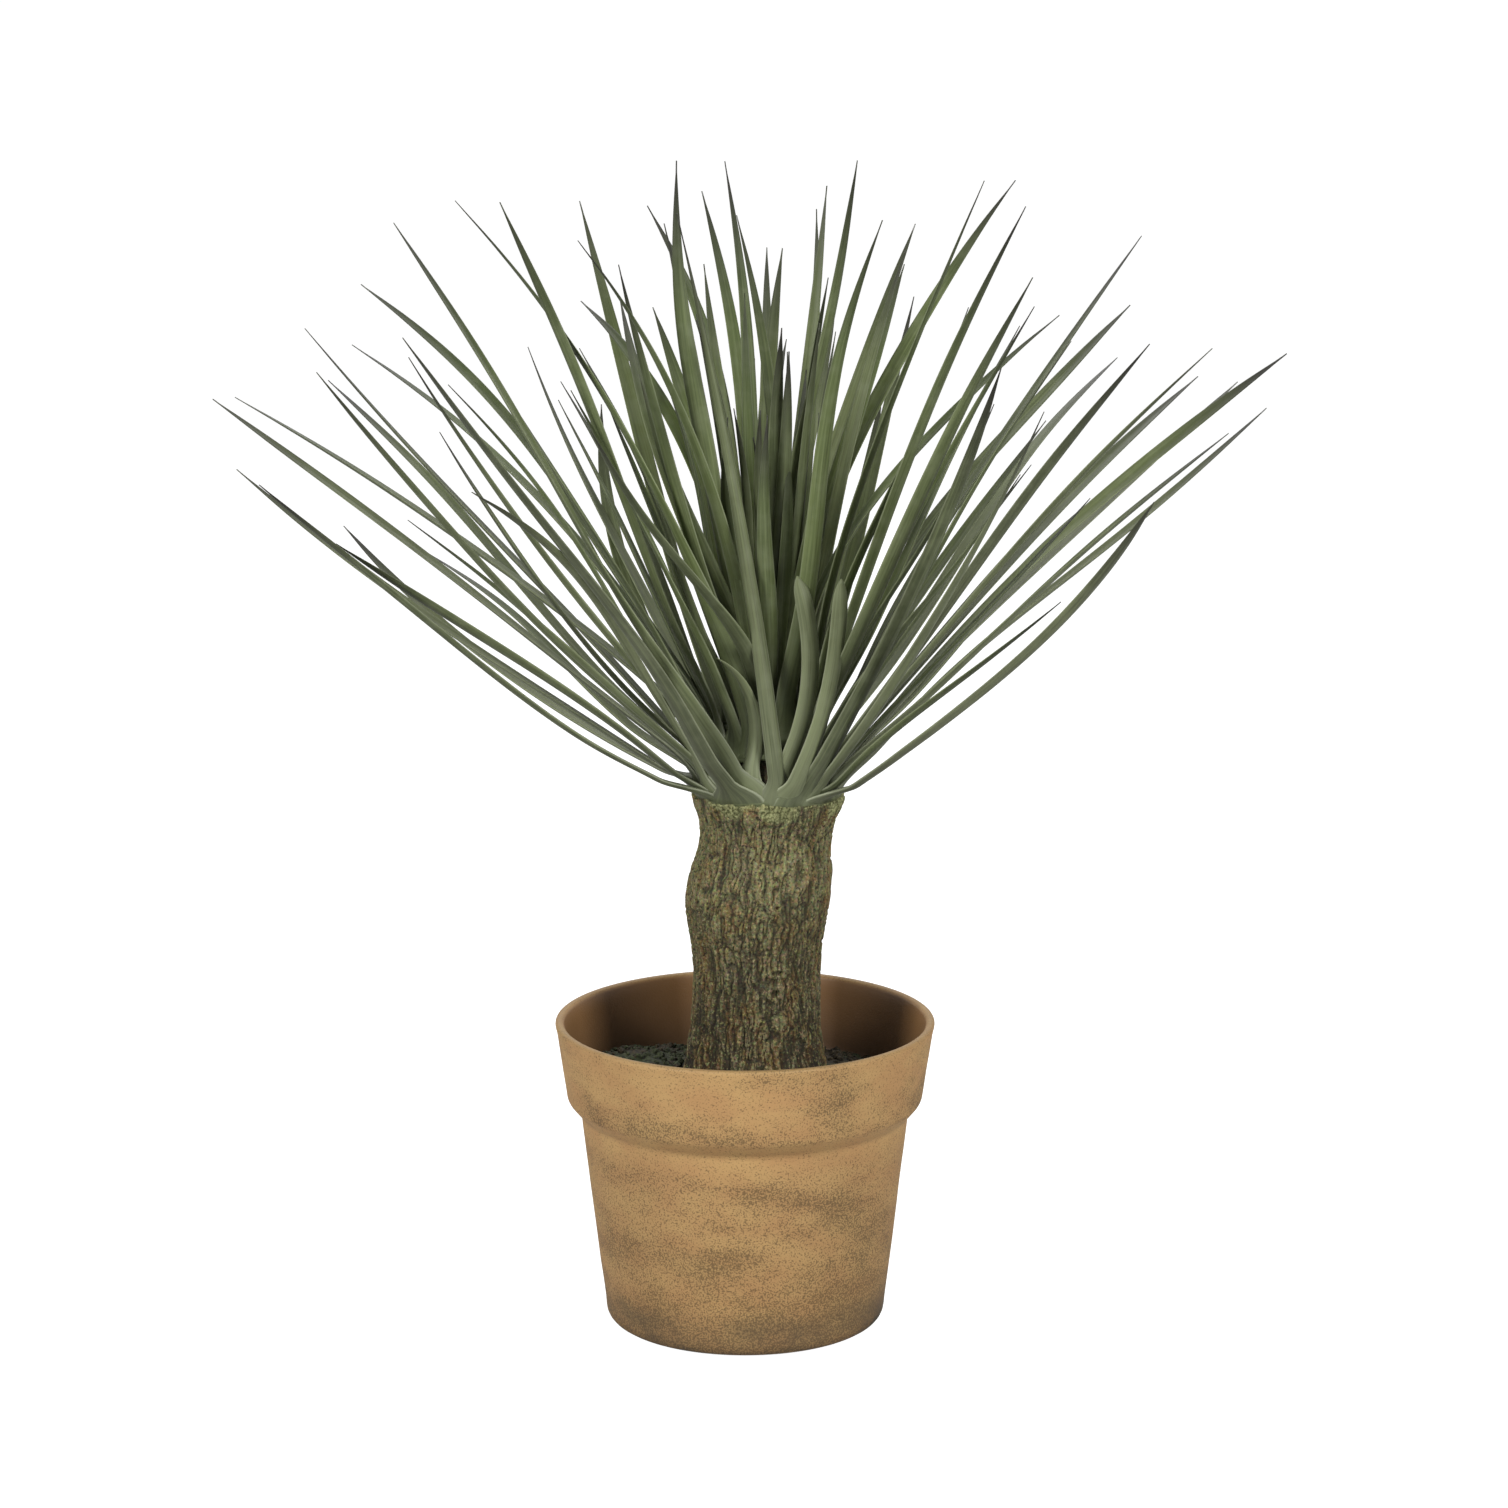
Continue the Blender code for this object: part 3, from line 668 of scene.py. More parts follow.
# %% Finish: compost
def compost():
    """Damp potting compost with bits of moss."""
    material, tree = new_finish("damp_potting_compost")
    where = add(tree, "ShaderNodeTexCoord", out="Object")
    moss_value = add(tree, "ShaderNodeAttribute", attribute_name="moss", out="Fac")
    fine = add(tree, "ShaderNodeTexNoise", {"Vector": where, "Scale": 700.0, "Detail": 3.0, "Roughness": 0.6})
    contrast = add(tree, "ShaderNodeMapRange", {"Value": fine, "From Min": 0.35, "From Max": 0.68})
    earth = add(tree, "ShaderNodeMix", {"Factor": contrast, "A": "#12100B", "B": "#403726"}, data_type="RGBA")
    green = add(tree, "ShaderNodeMix", {"Factor": contrast, "A": "#171A0F", "B": "#40462C"}, data_type="RGBA")
    colour = add(tree, "ShaderNodeMix", {"Factor": moss_value, "A": earth, "B": green}, data_type="RGBA")
    bump = add(tree, "ShaderNodeBump", {"Height": fine, "Strength": 0.7, "Distance": 0.0008})
    shader = add(tree, "ShaderNodeBsdfPrincipled", {
        "Base Color": colour, "Roughness": 0.85, "Normal": bump, "IOR": 1.36})
    add(tree, "ShaderNodeOutputMaterial", {"Surface": shader})
    return material


earth_finish = compost()
mossy_patch = ease(0.0, 0.5, noise(soil_rings, 0.010, 34) + 0.25)
soil = closed_skin("soil_bed", soil_rings, earth_finish, {"moss": mossy_patch})
crumbs = place("soil_crumbs", crumb_mesh, earth_finish)
crumbs.data.shade_flat()
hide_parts("potting_soil")
print("soil faces:", len(soil.data.polygons), "crumb faces:", len(crumb_mesh.polygons))

# %% [markdown]
# ## The leaves
#
# Each leaf is a sword: a broad sheath that clasps the head, a neck, a blade that keeps its width over most
# of its length, and a dark point. Across, it is a shallow channel, open towards the plant's middle, with a
# rounded back. The blade is thick and waxy, so it stays stiff and nearly straight.
#
# The frame already says where every leaf runs. Its solid has rings of four corners, ten of them, and a
# point, so the middle line and the way the channel faces can be read straight from it, and a leaf here can
# never drift from its solid. Modelling leaves along curve objects would need 57 curves kept in step with
# the frame by hand.

# %% Read a leaf's line from its solid
HEAD_MIDDLE = np.array([float(trunk_centre(HEAD_LEVEL)), 0.0, HEAD_LEVEL])


def leaf_line(node):
    """The middle points (11, 3) of a frame leaf from root to tip, and the way its channel faces (11, 3).
    The corners are sorted along the chord from root to tip. In each ring the two corners furthest apart are
    the edges, and of the other two the one nearer to the edges' middle lies in the channel."""
    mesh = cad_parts[node].data
    flat = np.empty(3 * len(mesh.vertices), np.float32)
    mesh.vertices.foreach_get("co", flat)
    corners = np.unique(flat.reshape(-1, 3).round(5), axis=0).astype(float)
    distance = np.linalg.norm(corners - HEAD_MIDDLE, axis=1)
    tip = corners[np.argmax(distance)]
    root = corners[np.argsort(distance)[:4]].mean(0)
    sections = corners[np.argsort((corners - root) @ (tip - root))][:-1].reshape(-1, 4, 3)
    middles, facings = [], []
    for section in sections:
        pairs = list(itertools.combinations(range(4), 2))
        widest = max(pairs, key=lambda pair: np.linalg.norm(section[pair[0]] - section[pair[1]]))
        edge_middle = section[list(widest)].mean(0)
        others = section[[k for k in range(4) if k not in widest]]
        middle = min(others, key=lambda corner: np.linalg.norm(corner - edge_middle))
        middles.append(middle)
        facings.append(unit(edge_middle - middle))
    return np.array(middles + [tip]), np.array(facings + [facings[-1]])


line, facing = leaf_line("leaf_20")
print("leaf_20 is", round(float(np.linalg.norm(np.diff(line, axis=0), axis=1).sum()) * 1000), "mm long")

# %% [markdown]
# A smooth line through the eleven points comes from cubic pieces whose slope at each point is half the step
# between its neighbours, the Catmull-Rom rule. The sheath is a separate piece of line in front of it. It
# starts lower down on the head, runs up along the head's surface, and bends into the leaf's own line:
# a cubic curve with four control points does that, (1-u)^3 a + 3u(1-u)^2 b + 3u^2(1-u) c + u^3 d.

# %% Smooth lines and sheaths
SHEATH_DROP = 0.0110  # how far below the leaf's root its sheath starts
SHEATH_LEVEL = 0.2385  # but no sheath starts lower than this, inside the mossy rim
SHEATH_DEPTH = 0.0030  # how far its foot sinks into the head
SHEATH_BEND = 0.0105  # length of the control arms where it bends outwards
SHEATH_ROWS = 14
BLADE_ROWS = 42


def through(points, count):
    """count points on a Catmull-Rom line through the given ones."""
    slopes = np.gradient(points, axis=0)
    t = np.linspace(0, len(points) - 1, count)
    k = np.minimum(t.astype(int), len(points) - 2)
    u = (t - k)[:, None]
    return ((1 + 2 * u) * (1 - u) ** 2 * points[k] + u * (1 - u) ** 2 * slopes[k]
            + u**2 * (3 - 2 * u) * points[k + 1] + u**2 * (u - 1) * slopes[k + 1])


def sheath_line(root, first, along):
    """The sheath from its foot on the head to the leaf's first station, and the head's outward way there.
    It is the cubic curve given above."""
    outward = unit((root - HEAD_MIDDLE) / np.array([HEAD_RADIUS, HEAD_RADIUS, HEAD_HEIGHT]) ** 2)
    uphill = unit(np.array([0, 0, 1.0]) - outward * outward[2])
    drop = min(SHEATH_DROP, (root[2] - SHEATH_LEVEL) / uphill[2])
    foot = root - drop * uphill - SHEATH_DEPTH * outward
    u = np.linspace(0, 1, SHEATH_ROWS, endpoint=False)[:, None]
    arms = (foot, foot + SHEATH_BEND * uphill, first - SHEATH_BEND * along, first)
    weights = ((1 - u) ** 3, 3 * u * (1 - u) ** 2, 3 * u**2 * (1 - u), u**3)
    return sum(weight * arm for weight, arm in zip(weights, arms)), outward


print("rows per leaf:", SHEATH_ROWS + BLADE_ROWS)

# %% [markdown]
# With the line known, the rest of a leaf is a few formulas of the distance along it: half its width, how
# deep its channel is, how thick it is and the way it faces. The section is an ellipse bent into that channel.
# At its foot a leaf faces the head, whose round side it clasps. A leaf that leans far out has rolled round by
# the middle of its length, until its channel lies straight over its line like a gutter. A skin modifier
# could give a leaf its thickness, but not this section, and not the numbers that colour it along its length.

# %% The leaf's surface
LEAF_HALF_WIDTH = 0.0046
LEAF_THICKNESS = (  # share of the length, half the thickness
    (0.0, 0.0015),
    (0.06, 0.0013),
    (0.14, 0.0011),
    (0.5, 0.0008),
    (0.9, 0.0004),
    (1.0, 0.0002),
)
LEAF_TIP = 0.0003  # half the breadth of the point
FOOT_SPREAD = 0.0095  # how much further each side of the sheath's foot reaches than the neck
FOOT_START = 0.0035  # from this far along, where it comes out of the rim, the foot narrows
FOOT_END = 0.0175  # into the neck here
COLUMNS = 18
section_turn = np.arange(COLUMNS) * 2 * math.pi / COLUMNS


def turned_about(axis, vectors, angle):
    """Vectors at right angles to their axes, turned about them: v cos a + (axis x v) sin a."""
    return vectors * np.cos(angle)[:, None] + np.cross(axis, vectors) * np.sin(angle)[:, None]


def leaf_rings(line, facing, width=1.0, neck=0.78, twist=0.0, wander=(0.0, 0.0), foot=1.0, taper=5.0,
               span=1.0):
    """Rings round a leaf, and the numbers its finish reads.

    With s the share of the length and d the distance from the sheath's foot, half the width is
    width LEAF_HALF_WIDTH (neck + (1 - neck) ease(s)) (1 - s^taper) + foot FOOT_SPREAD (1 - ease(d)).
    A point of the section at turn a lies half_width cos(a) across, and half_thickness (sin(a) - 1) plus
    depth |cos(a)|^q along the way the channel faces. The blade may twist along its length, and wander
    sideways and inwards by sin(2 pi s) of a few millimetres, as real leaves do. Its colours run through the
    first span of a full-grown leaf's."""
    sheath, outward = sheath_line(line[0], line[1], unit(line[2] - line[0]))
    middle = np.concatenate([sheath, through(line[1:], BLADE_ROWS)])
    walked = np.concatenate([[0], np.cumsum(np.linalg.norm(np.diff(middle, axis=0), axis=1))])
    s = walked / walked[-1]
    along = unit(np.gradient(middle, walked, axis=0))

    bend = ease(0, SHEATH_ROWS + 4, np.arange(len(s)))[:, None]
    channel = np.concatenate([np.repeat(facing[1:2], SHEATH_ROWS, axis=0), through(facing[1:], BLADE_ROWS)])
    inward = (1 - bend) * -outward + bend * channel
    inward = unit(inward - along * (inward * along).sum(1, keepdims=True))
    chord = unit(line[-1] - line[0])
    gutter = unit(np.cross(along, np.cross([0, 0, 1.0], chord)))
    roll = np.arctan2((np.cross(inward, gutter) * along).sum(1), (inward * gutter).sum(1))
    leaning = ease(8, 32, math.degrees(math.acos(chord[2])))
    inward = turned_about(along, inward, roll * leaning * ease(0.06, 0.50, s) + twist * ease(0.10, 0.9, s))
    across = np.cross(inward, along)
    wave = np.sin(2 * math.pi * s)[:, None] * ease(0.0, 0.3, s)[:, None]
    middle = middle + wave * (wander[0] * across + wander[1] * inward)

    half = width * LEAF_HALF_WIDTH * (neck + (1 - neck) * ease(0.05, 0.5, s)) * (1 - s**taper)
    half = np.maximum(half, LEAF_TIP) + foot * FOOT_SPREAD * (1 - ease(FOOT_START, FOOT_END, walked))
    depth = half * (0.20 + 0.12 * ease(0.05, 0.3, s) - 0.10 * ease(0.7, 1.0, s))
    power = 2.0 - 0.6 * ease(0.05, 0.25, s)
    thick = np.interp(s, *zip(*LEAF_THICKNESS))

    c, sn = np.cos(section_turn)[None, :], np.sin(section_turn)[None, :]
    sideways = half[:, None] * c
    inwards = thick[:, None] * (sn - 1) + depth[:, None] * np.abs(c) ** power[:, None]
    rings = middle[:, None] + sideways[..., None] * across[:, None] + inwards[..., None] * inward[:, None]
    values = {
        "share": span * s[:, None] + 0 * c,
        "edge": np.abs(c) + 0 * s[:, None],
        "across": c + 0 * s[:, None],
        "inner": (1 + sn) / 2 + 0 * s[:, None],
    }
    return rings, values


rings, values = leaf_rings(line, facing)
print("leaf_20's blade is", round(1000 * float(np.linalg.norm(rings[24, 0] - rings[24, 9])), 1), "mm wide")

# %% [markdown]
# ### The leaf's finish
#
# A yucca leaf has a waxy skin with a thin grey bloom, so it is matt with a soft sheen. The outer leaves are
# grey green, the inner ones a fresher olive, and all get fresher and darker towards the tip. Their backs are
# greyer than their channels. Edges are pale, partly a pale margin and partly a painted highlight, most of all
# on the sheath, and the last stretch dries to a nearly black brown point. The sheaths low between the leaves
# are painted dark as shade, the shade that gathers between them, so `deep` darkens a leaf's start.
#
# Fine veins run along the blade. Real ones are a third of a millimetre apart, and here they are drawn about
# 1 mm apart so that they show. The bloom comes and goes in patches of 9 mm.

# %% Finish: waxy leaf
def waxy_leaf():
    """Leaf skin whose colour follows the share of the length, the side, the edge and the leaf's own age."""
    material, tree = new_finish("waxy_leaf")
    where = add(tree, "ShaderNodeTexCoord", out="Object")
    share_value, edge_value, across_value, inner_value, fresh_value, tone_value, deep_value, dry_value = (
        add(tree, "ShaderNodeAttribute", attribute_name=name, out="Fac")
        for name in ("share", "edge", "across", "inner", "fresh", "tone", "deep", "dry"))

    up_low = add(tree, "ShaderNodeMapRange", {"Value": share_value, "From Min": 0.02, "From Max": 0.35})
    up_high = add(tree, "ShaderNodeMapRange", {"Value": share_value, "From Min": 0.35, "From Max": 0.85})
    old_low = add(tree, "ShaderNodeMix", {"Factor": up_low, "A": "#787D60", "B": "#6F7455"}, data_type="RGBA")
    old = add(tree, "ShaderNodeMix", {"Factor": up_high, "A": old_low, "B": "#515833"}, data_type="RGBA")
    young_low = add(tree, "ShaderNodeMix", {
        "Factor": up_low, "A": "#6F7A4B", "B": "#5E6C32"}, data_type="RGBA")
    young = add(tree, "ShaderNodeMix", {"Factor": up_high, "A": young_low, "B": "#44541D"}, data_type="RGBA")
    skin = add(tree, "ShaderNodeMix", {"Factor": fresh_value, "A": old, "B": young}, data_type="RGBA")
    back = add(tree, "ShaderNodeMapRange", {
        "Value": inner_value, "From Min": 0.55, "From Max": 0.35, "To Max": 0.35})
    backed = add(tree, "ShaderNodeMix", {"Factor": back, "A": skin, "B": "#5C614C"}, data_type="RGBA")
    toned = add(tree, "ShaderNodeMix", {"Factor": tone_value, "A": backed, "B": "#363B26"}, data_type="RGBA")

    blade = add(tree, "ShaderNodeCombineXYZ", {"X": across_value, "Y": share_value, "Z": fresh_value})
    veins = add(tree, "ShaderNodeMapping", {"Vector": blade, "Scale": (2.6, 3.0, 40.0)})
    vein = add(tree, "ShaderNodeTexNoise", {"Vector": veins, "Scale": 1.6, "Detail": 3.0, "Roughness": 0.65})
    light_vein = add(tree, "ShaderNodeMapRange", {
        "Value": vein, "From Min": 0.48, "From Max": 0.68, "To Max": 0.34})
    veined = add(tree, "ShaderNodeMix", {"Factor": light_vein, "A": toned, "B": "#828C62"}, data_type="RGBA")
    dark_vein = add(tree, "ShaderNodeMapRange", {
        "Value": vein, "From Min": 0.46, "From Max": 0.30, "To Max": 0.58})
    shaded = add(tree, "ShaderNodeMix", {"Factor": dark_vein, "A": veined, "B": "#394124"}, data_type="RGBA")
    mottle = add(tree, "ShaderNodeTexNoise", {"Vector": where, "Scale": 110.0, "Detail": 3.0})
    bloom = add(tree, "ShaderNodeMapRange", {
        "Value": mottle, "From Min": 0.45, "From Max": 0.70, "To Max": 0.24})
    bloomed = add(tree, "ShaderNodeMix", {"Factor": bloom, "A": shaded, "B": "#7C8266"}, data_type="RGBA")
    # pale edges: partly the leaf's pale margin, partly a painted highlight, strongest at the sheath
    edge_light = add(tree, "ShaderNodeMapRange", {
        "Value": share_value, "From Min": 0.0, "From Max": 0.30, "To Min": 0.90, "To Max": 0.34})
    rim = add(tree, "ShaderNodeMapRange", {"Value": edge_value, "From Min": 0.90, "From Max": 1.0})
    pale_margin_and_highlight = add(tree, "ShaderNodeMath", {0: rim, 1: edge_light}, operation="MULTIPLY")
    edged = add(tree, "ShaderNodeMix", {"Factor": pale_margin_and_highlight, "A": bloomed, "B": "#A2A78C"}, data_type="RGBA")
    # painted shade: a leaf's start is darkened by deep, as the shade low between the leaves
    low = add(tree, "ShaderNodeMapRange", {"Value": share_value, "From Min": 0.36, "From Max": 0.08})
    stain_and_shade = add(tree, "ShaderNodeMath", {0: low, 1: deep_value}, operation="MULTIPLY")
    stained_and_shaded = add(tree, "ShaderNodeMix", {"Factor": stain_and_shade, "A": edged, "B": "#1B1C14"}, data_type="RGBA")
    dead = add(tree, "ShaderNodeMapRange", {"Value": share_value, "From Min": 0.74, "From Max": 0.95})
    dried = add(tree, "ShaderNodeMath", {0: dead, 1: dry_value}, operation="MULTIPLY")
    colour = add(tree, "ShaderNodeMix", {"Factor": dried, "A": stained_and_shaded, "B": "#1B1A11"}, data_type="RGBA")
    shader = add(tree, "ShaderNodeBsdfPrincipled", {
        "Base Color": colour, "Roughness": 0.52, "IOR": 1.42, "Sheen Weight": 0.06})
    add(tree, "ShaderNodeOutputMaterial", {"Surface": shader})
    return material


leaf_finish = waxy_leaf()
print("leaf finish:", leaf_finish.name)

# %% [markdown]
# ### The leaves of the frame
#
# Every leaf of the frame gets a little twist and wander of its own, from one seeded generator, a breadth
# from a sixth under the usual one to just over it, and a point that starts sooner or later. It also turns a
# little to the front, as leaves turn to the light. The low leaves on the left are about a fifth narrower. How
# fresh its green is depends on how high it sits on the head, and on chance. The leaves that stand right at
# the front have forms of their own: the three curled ones are young and short, and two of them are blunt.

# %% Make the frame's leaves
PLAIN = {"twist": 0.0, "wander": (0, 0)}  # neither twisted nor wandering
YOUNG = {"foot": 0.3, "span": 0.4}  # a small foot, and only the colours of a leaf's first 40 percent
FORMS = {  # the leaves at the front, whose forms show best
    "leaf_13": {"width": 1.15, "neck": 1.00},
    "leaf_20": {"width": 1.15, "twist": 1.2},
    "leaf_11": {"width": 0.94, "neck": 1.02},
    "leaf_12": {"width": 0.98, "neck": 1.10},
    "leaf_43": {"width": 1.00, "neck": 0.90},
    "leaf_45": {"width": 1.00, "neck": 1.00},
    "leaf_46": {"width": 0.94, "neck": 1.20, "twist": -0.2},
    "leaf_47": {"width": 1.00, "neck": 1.00},
    "leaf_49": {"width": 1.00, "neck": 1.10, "twist": 0.1},
    "leaf_51": {"width": 1.00, "neck": 1.00, "twist": 0.0},
    "leaf_54": PLAIN | {"width": 0.84, "neck": 1.00, "taper": 1.7},
    "leaf_55": PLAIN | YOUNG | {"width": 0.76, "neck": 1.10, "taper": 4},
    "leaf_56": PLAIN | YOUNG | {"width": 0.86, "neck": 1.00, "taper": 26},
    "leaf_57": PLAIN | YOUNG | {"width": 0.86, "neck": 1.15, "taper": 26, "foot": 0.5},
}
CURLED = ("leaf_55", "leaf_56", "leaf_57")
INNER_LEVELS = (0.248, 0.272)  # a leaf rooted below the first is an outer one, above the second an inner one
rng = np.random.default_rng(5)


def leaf_piece(name, line, facing, fresh, tone, deep, dry, **form):
    """One leaf as a piece: the surface of leaf_rings, and how fresh and dark it is, how much painted shade
    darkens its start and how dry at its tip, each from 0 to 1 and the same all over the leaf."""
    rings, values = leaf_rings(line, facing, **form)
    for label, value in (("fresh", fresh), ("tone", tone), ("deep", deep), ("dry", dry)):
        values[label] = np.clip(value, 0, 1) + 0 * values["share"]
    made = closed_skin(name, rings, leaf_finish, values)
    return made


for node in leaf_nodes:
    line, facing = leaf_line(node)
    inner = float(ease(*INNER_LEVELS, line[0][2]))
    side = float(np.sign(line[-1][0] - line[0][0]))
    form = {
        "width": rng.uniform(0.88, 1.08) * (0.74 + 0.18 * inner if side < 0 else 0.95),
        "twist": 0.12 * side + rng.normal(0, 0.30),
        "wander": tuple(rng.normal(0, 0.0018, 2)),
        "foot": 1.0 - 0.4 * inner,
        "taper": rng.uniform(6.0, 10.0) - 3.0 * inner,
    }
    young = node in CURLED
    made = leaf_piece(
        "blade" + node[4:], line, facing,
        fresh=0.3 if young else 0.6 * inner + rng.uniform(0.0, 0.5),
        tone=0.0 if young else 0.65 * rng.uniform(0.0, 1.0) ** 2,
        deep=0.0 if young else 0.20 + 0.20 * inner,
        dry=0.0 if young else rng.uniform(0.7, 1.0),
        **(form | FORMS.get(node, {})),
    )
    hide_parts(node)
print("leaves made:", len(leaf_nodes))

# %% [markdown]
# ### The inner leaves
#
# A head like this carries about a hundred leaves. The frame has the 57 that make its outline, and the rest
# are added here, inside it. Twelve that show between the others are placed one by one. The rest follow the
# rule that leaves grow by: each next one turns by the golden angle, 137.5 degrees, and sits a little higher
# on the head. The higher it sits, the more upright it is. At the front the head has only short upright ones,
# so the curled young leaves stay in view. Instances of one leaf on the head would be less work, but their
# likeness would show.

# %% Lines of the inner leaves
LEAF_LENGTH = 0.262
STEPS = 10  # from root to tip
ROOT_RISE = 0.0026  # how far outside the head a leaf's root lies


def grown_line(bearing, lean, bow, length, seat_bearing, seat, sway=0):
    """The eleven points of a leaf, and the way its channel faces. Its root is on the head at the seat's
    bearing, seat degrees from upright. From root to tip it leans lean degrees and bends by bow, and it heads
    for the bearing and veers by sway. Each step goes the way (sin l cos b, sin l sin b, cos l)."""
    share = np.linspace(0, 1, STEPS + 1)
    l, b = np.radians(lean + bow * (share - 0.5)), np.radians(bearing + sway * (share - 0.5))
    ways = np.stack([np.sin(l) * np.cos(b), np.sin(l) * np.sin(b), np.cos(l)], axis=-1)
    t, turn_to = math.radians(seat), math.radians(seat_bearing)
    outward = np.array([math.sin(t) * math.cos(turn_to), math.sin(t) * math.sin(turn_to), math.cos(t)])
    root = HEAD_MIDDLE + outward * (HEAD_RADIUS + ROOT_RISE, HEAD_RADIUS + ROOT_RISE, HEAD_HEIGHT + ROOT_RISE)
    steps = ways[:-1] * LEAF_LENGTH * length / STEPS
    points = root + np.concatenate([[np.zeros(3)], np.cumsum(steps, axis=0)])
    round_head = np.array([-math.sin(turn_to), math.cos(turn_to), 0])
    facing = np.cross(ways, round_head - ways * (ways @ round_head)[:, None])
    return points, unit(facing)


def inner_leaf(number, row, fresh, **form):
    """One inner leaf from its row of grown_line's numbers."""
    line, facing = grown_line(*row)
    return leaf_piece(
        f"inner_blade_{number:02d}", line, facing, fresh=fresh, tone=rng.uniform(0.0, 0.30), deep=0.35,
        dry=rng.uniform(0.7, 1.0), twist=rng.normal(0, 0.30), wander=tuple(rng.normal(0, 0.0016, 2)),
        foot=0.6, taper=rng.uniform(3.4, 6.0), **form)


print("a grown leaf ends at", grown_line(90, 30, 0, 1, 90, 40)[0][-1].round(3))

# %% Make the inner leaves
GOLDEN_ANGLE = 137.508
PLACED_LEAVES = (  # bearing, lean, bow, length, seat's bearing, seat, sway
    (52, 26, 14, 0.80, 68, 32, 0),
    (124, 26, 16, 0.72, 114, 32, 0),
    (108, 23, 10, 0.78, 106, 32, 0),
    (205, 54, 6, 0.80, 206, 84, 0),
    (60, 10, 6, 0.56, 60, 16, 0),
    (318, 52, 6, 0.64, 318, 84, 0),
    (335, 22, 10, 0.78, 325, 40, 0),
    (355, 27, 8, 0.80, 348, 42, 0),
    (350, 31, 2, 0.80, 338, 52, 0),
    (175, 24, 6, 0.68, 230, 30, 0),
    (196, 26, 8, 0.66, 236, 44, 0),
    (185, 19, 4, 0.62, 258, 30, 0),
)
GROWN_LEAVES = 40

for number, row in enumerate(PLACED_LEAVES, start=1):
    inner_leaf(number, row, fresh=rng.uniform(0.5, 1.0), width=rng.uniform(0.82, 1.02))
for k in range(GROWN_LEAVES):
    high = (k + 0.5) / GROWN_LEAVES
    bearing = (k * GOLDEN_ANGLE + 20) % 360
    seat = 80 - 60 * high**0.9 + rng.normal(0, 2)
    lean = 52 - 44 * high**0.9 + rng.normal(0, 4)
    to_front = math.sin(math.radians(bearing))
    length = rng.uniform(0.66, 0.92)
    if to_front < -0.6:
        lean, seat, length = rng.uniform(2, 10), rng.uniform(8, 26), rng.uniform(0.45, 0.70)
    elif to_front < 0.5:
        length *= 0.85
    row = (bearing, lean, rng.normal(2, 8), length, bearing, seat, rng.normal(0, 8))
    inner_leaf(len(PLACED_LEAVES) + k + 1, row, fresh=rng.uniform(0.3, 1.0), width=rng.uniform(0.70, 0.94))
print("inner leaves made:", len(PLACED_LEAVES) + GROWN_LEAVES)

# %% [markdown]
# ## Light, floor and camera
#
# Two soft lamps stand in front, to the left and the right, about a metre up, so that each throws a soft
# shadow of the trunk on the inside of the pot. A weaker one behind keeps the back of the plant from going
# dark, and a dim even sky fills the rest. Together they light a surface that faces the camera at about full
# strength, so it shows about the colour it was given.
#
# The floor is white. A part of its whiteness is a glow that only the camera sees, so it can be white without
# throwing more light on the plant, and the plant's shadow still shows on it.

# %% Light
LAMP_DISTANCE = 1.7
LAMP_SIZE = 0.45
LAMPS = {  # turn from the front and elevation in degrees, and power in watts
    "lamp_left": (-45, 27, 21.0),
    "lamp_right": (41, 27, 21.0),
    "lamp_back": (180, 50, 12.0),
}
target = np.array([0.0, 0.0, 0.20])

for name, (turn_deg, rise_deg, power) in LAMPS.items():
    turn_by, rise = math.radians(turn_deg), math.radians(rise_deg)
    away = np.array([math.sin(turn_by) * math.cos(rise), -math.cos(turn_by) * math.cos(rise), math.sin(rise)])
    data = bpy.data.lights.new(name, "AREA")
    data.shape = "SQUARE"
    data.size = LAMP_SIZE
    data.energy = power
    lamp = bpy.data.objects.new(name, data)
    lamp.location = target + LAMP_DISTANCE * away
    lamp.rotation_euler = (math.pi / 2 - rise, 0, turn_by)
    scene.collection.objects.link(lamp)

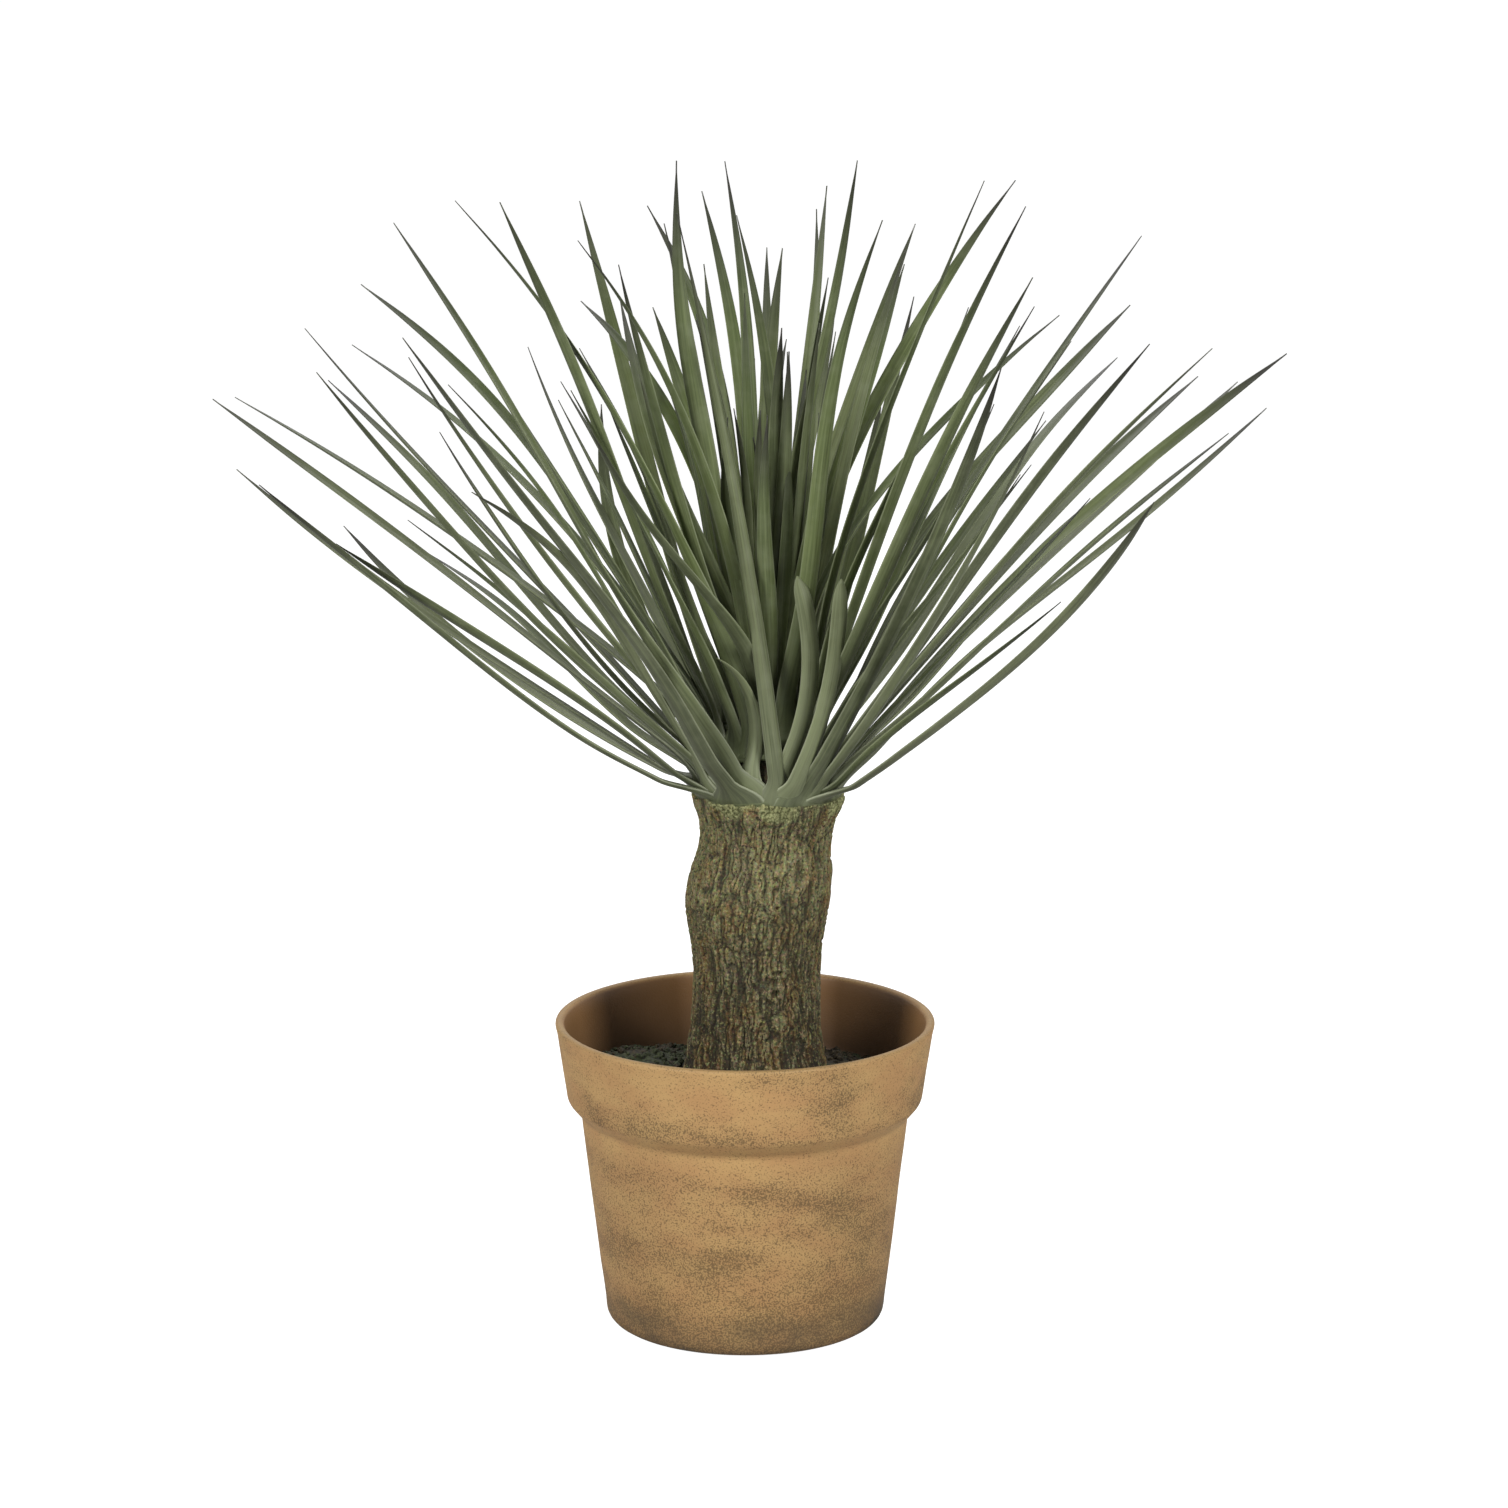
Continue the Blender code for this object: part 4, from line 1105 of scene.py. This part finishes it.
world = bpy.data.worlds.new("studio")
scene.world = world
world.use_nodes = True
world.node_tree.nodes.clear()
ray = add(world.node_tree, "ShaderNodeLightPath", out="Is Camera Ray")
mirrored = add(world.node_tree, "ShaderNodeLightPath", out="Is Glossy Ray")
seen = add(world.node_tree, "ShaderNodeMath", {0: ray, 1: mirrored}, operation="MAXIMUM")
strength = add(world.node_tree, "ShaderNodeMapRange", {"Value": seen, "To Min": 0.14, "To Max": 1.0})
sky = add(world.node_tree, "ShaderNodeBackground", {"Color": "#FFFFFF", "Strength": strength})
add(world.node_tree, "ShaderNodeOutputWorld", {"Surface": sky})
print("lamps:", len(LAMPS))

# %% Floor
FLOOR_HALF = 30.0
floor_mesh = bpy.data.meshes.new("floor")
square = [(-FLOOR_HALF, -FLOOR_HALF, 0), (FLOOR_HALF, -FLOOR_HALF, 0), (FLOOR_HALF, FLOOR_HALF, 0)]
floor_mesh.from_pydata(square + [(-FLOOR_HALF, FLOOR_HALF, 0)], [], [(0, 1, 2, 3)])
floor = bpy.data.objects.new("floor", floor_mesh)
scene.collection.objects.link(floor)
floor_finish, tree = new_finish("white_studio_floor")
seen = add(tree, "ShaderNodeLightPath", out="Is Camera Ray")
glow = add(tree, "ShaderNodeMapRange", {"Value": seen, "To Max": 0.90})
shader = add(tree, "ShaderNodeBsdfPrincipled", {
    "Base Color": "#B4B4B4", "Roughness": 0.9, "Emission Color": "#FFFFFF", "Emission Strength": glow})
add(tree, "ShaderNodeOutputMaterial", {"Surface": shader})
floor_mesh.materials.append(floor_finish)
floor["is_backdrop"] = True
print("floor:", 2 * FLOOR_HALF, "m")

# %% Camera
CAMERA_PLACE = (0.004, -2.100, 0.730)
CAMERA_AIM = (0.004, 0.0, 0.259)
camera_data = bpy.data.cameras.new("camera")
camera_data.lens = 116.5
camera_data.sensor_width = 36.0
camera = bpy.data.objects.new("camera", camera_data)
camera.location = CAMERA_PLACE
drop = math.atan2(CAMERA_PLACE[2] - CAMERA_AIM[2], CAMERA_AIM[1] - CAMERA_PLACE[1])
camera.rotation_euler = (math.pi / 2 - drop, 0, 0)
scene.collection.objects.link(camera)
scene.camera = camera
scene.view_settings.view_transform = "Standard"
print("camera looks down by", round(math.degrees(drop), 2), "degrees")

# %% Sizes and the end
made_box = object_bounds()
for label, box in (("cad", cad_box), ("visual", made_box)):
    print(label, "box:", [[round(v, 4) for v in corner] for corner in box])
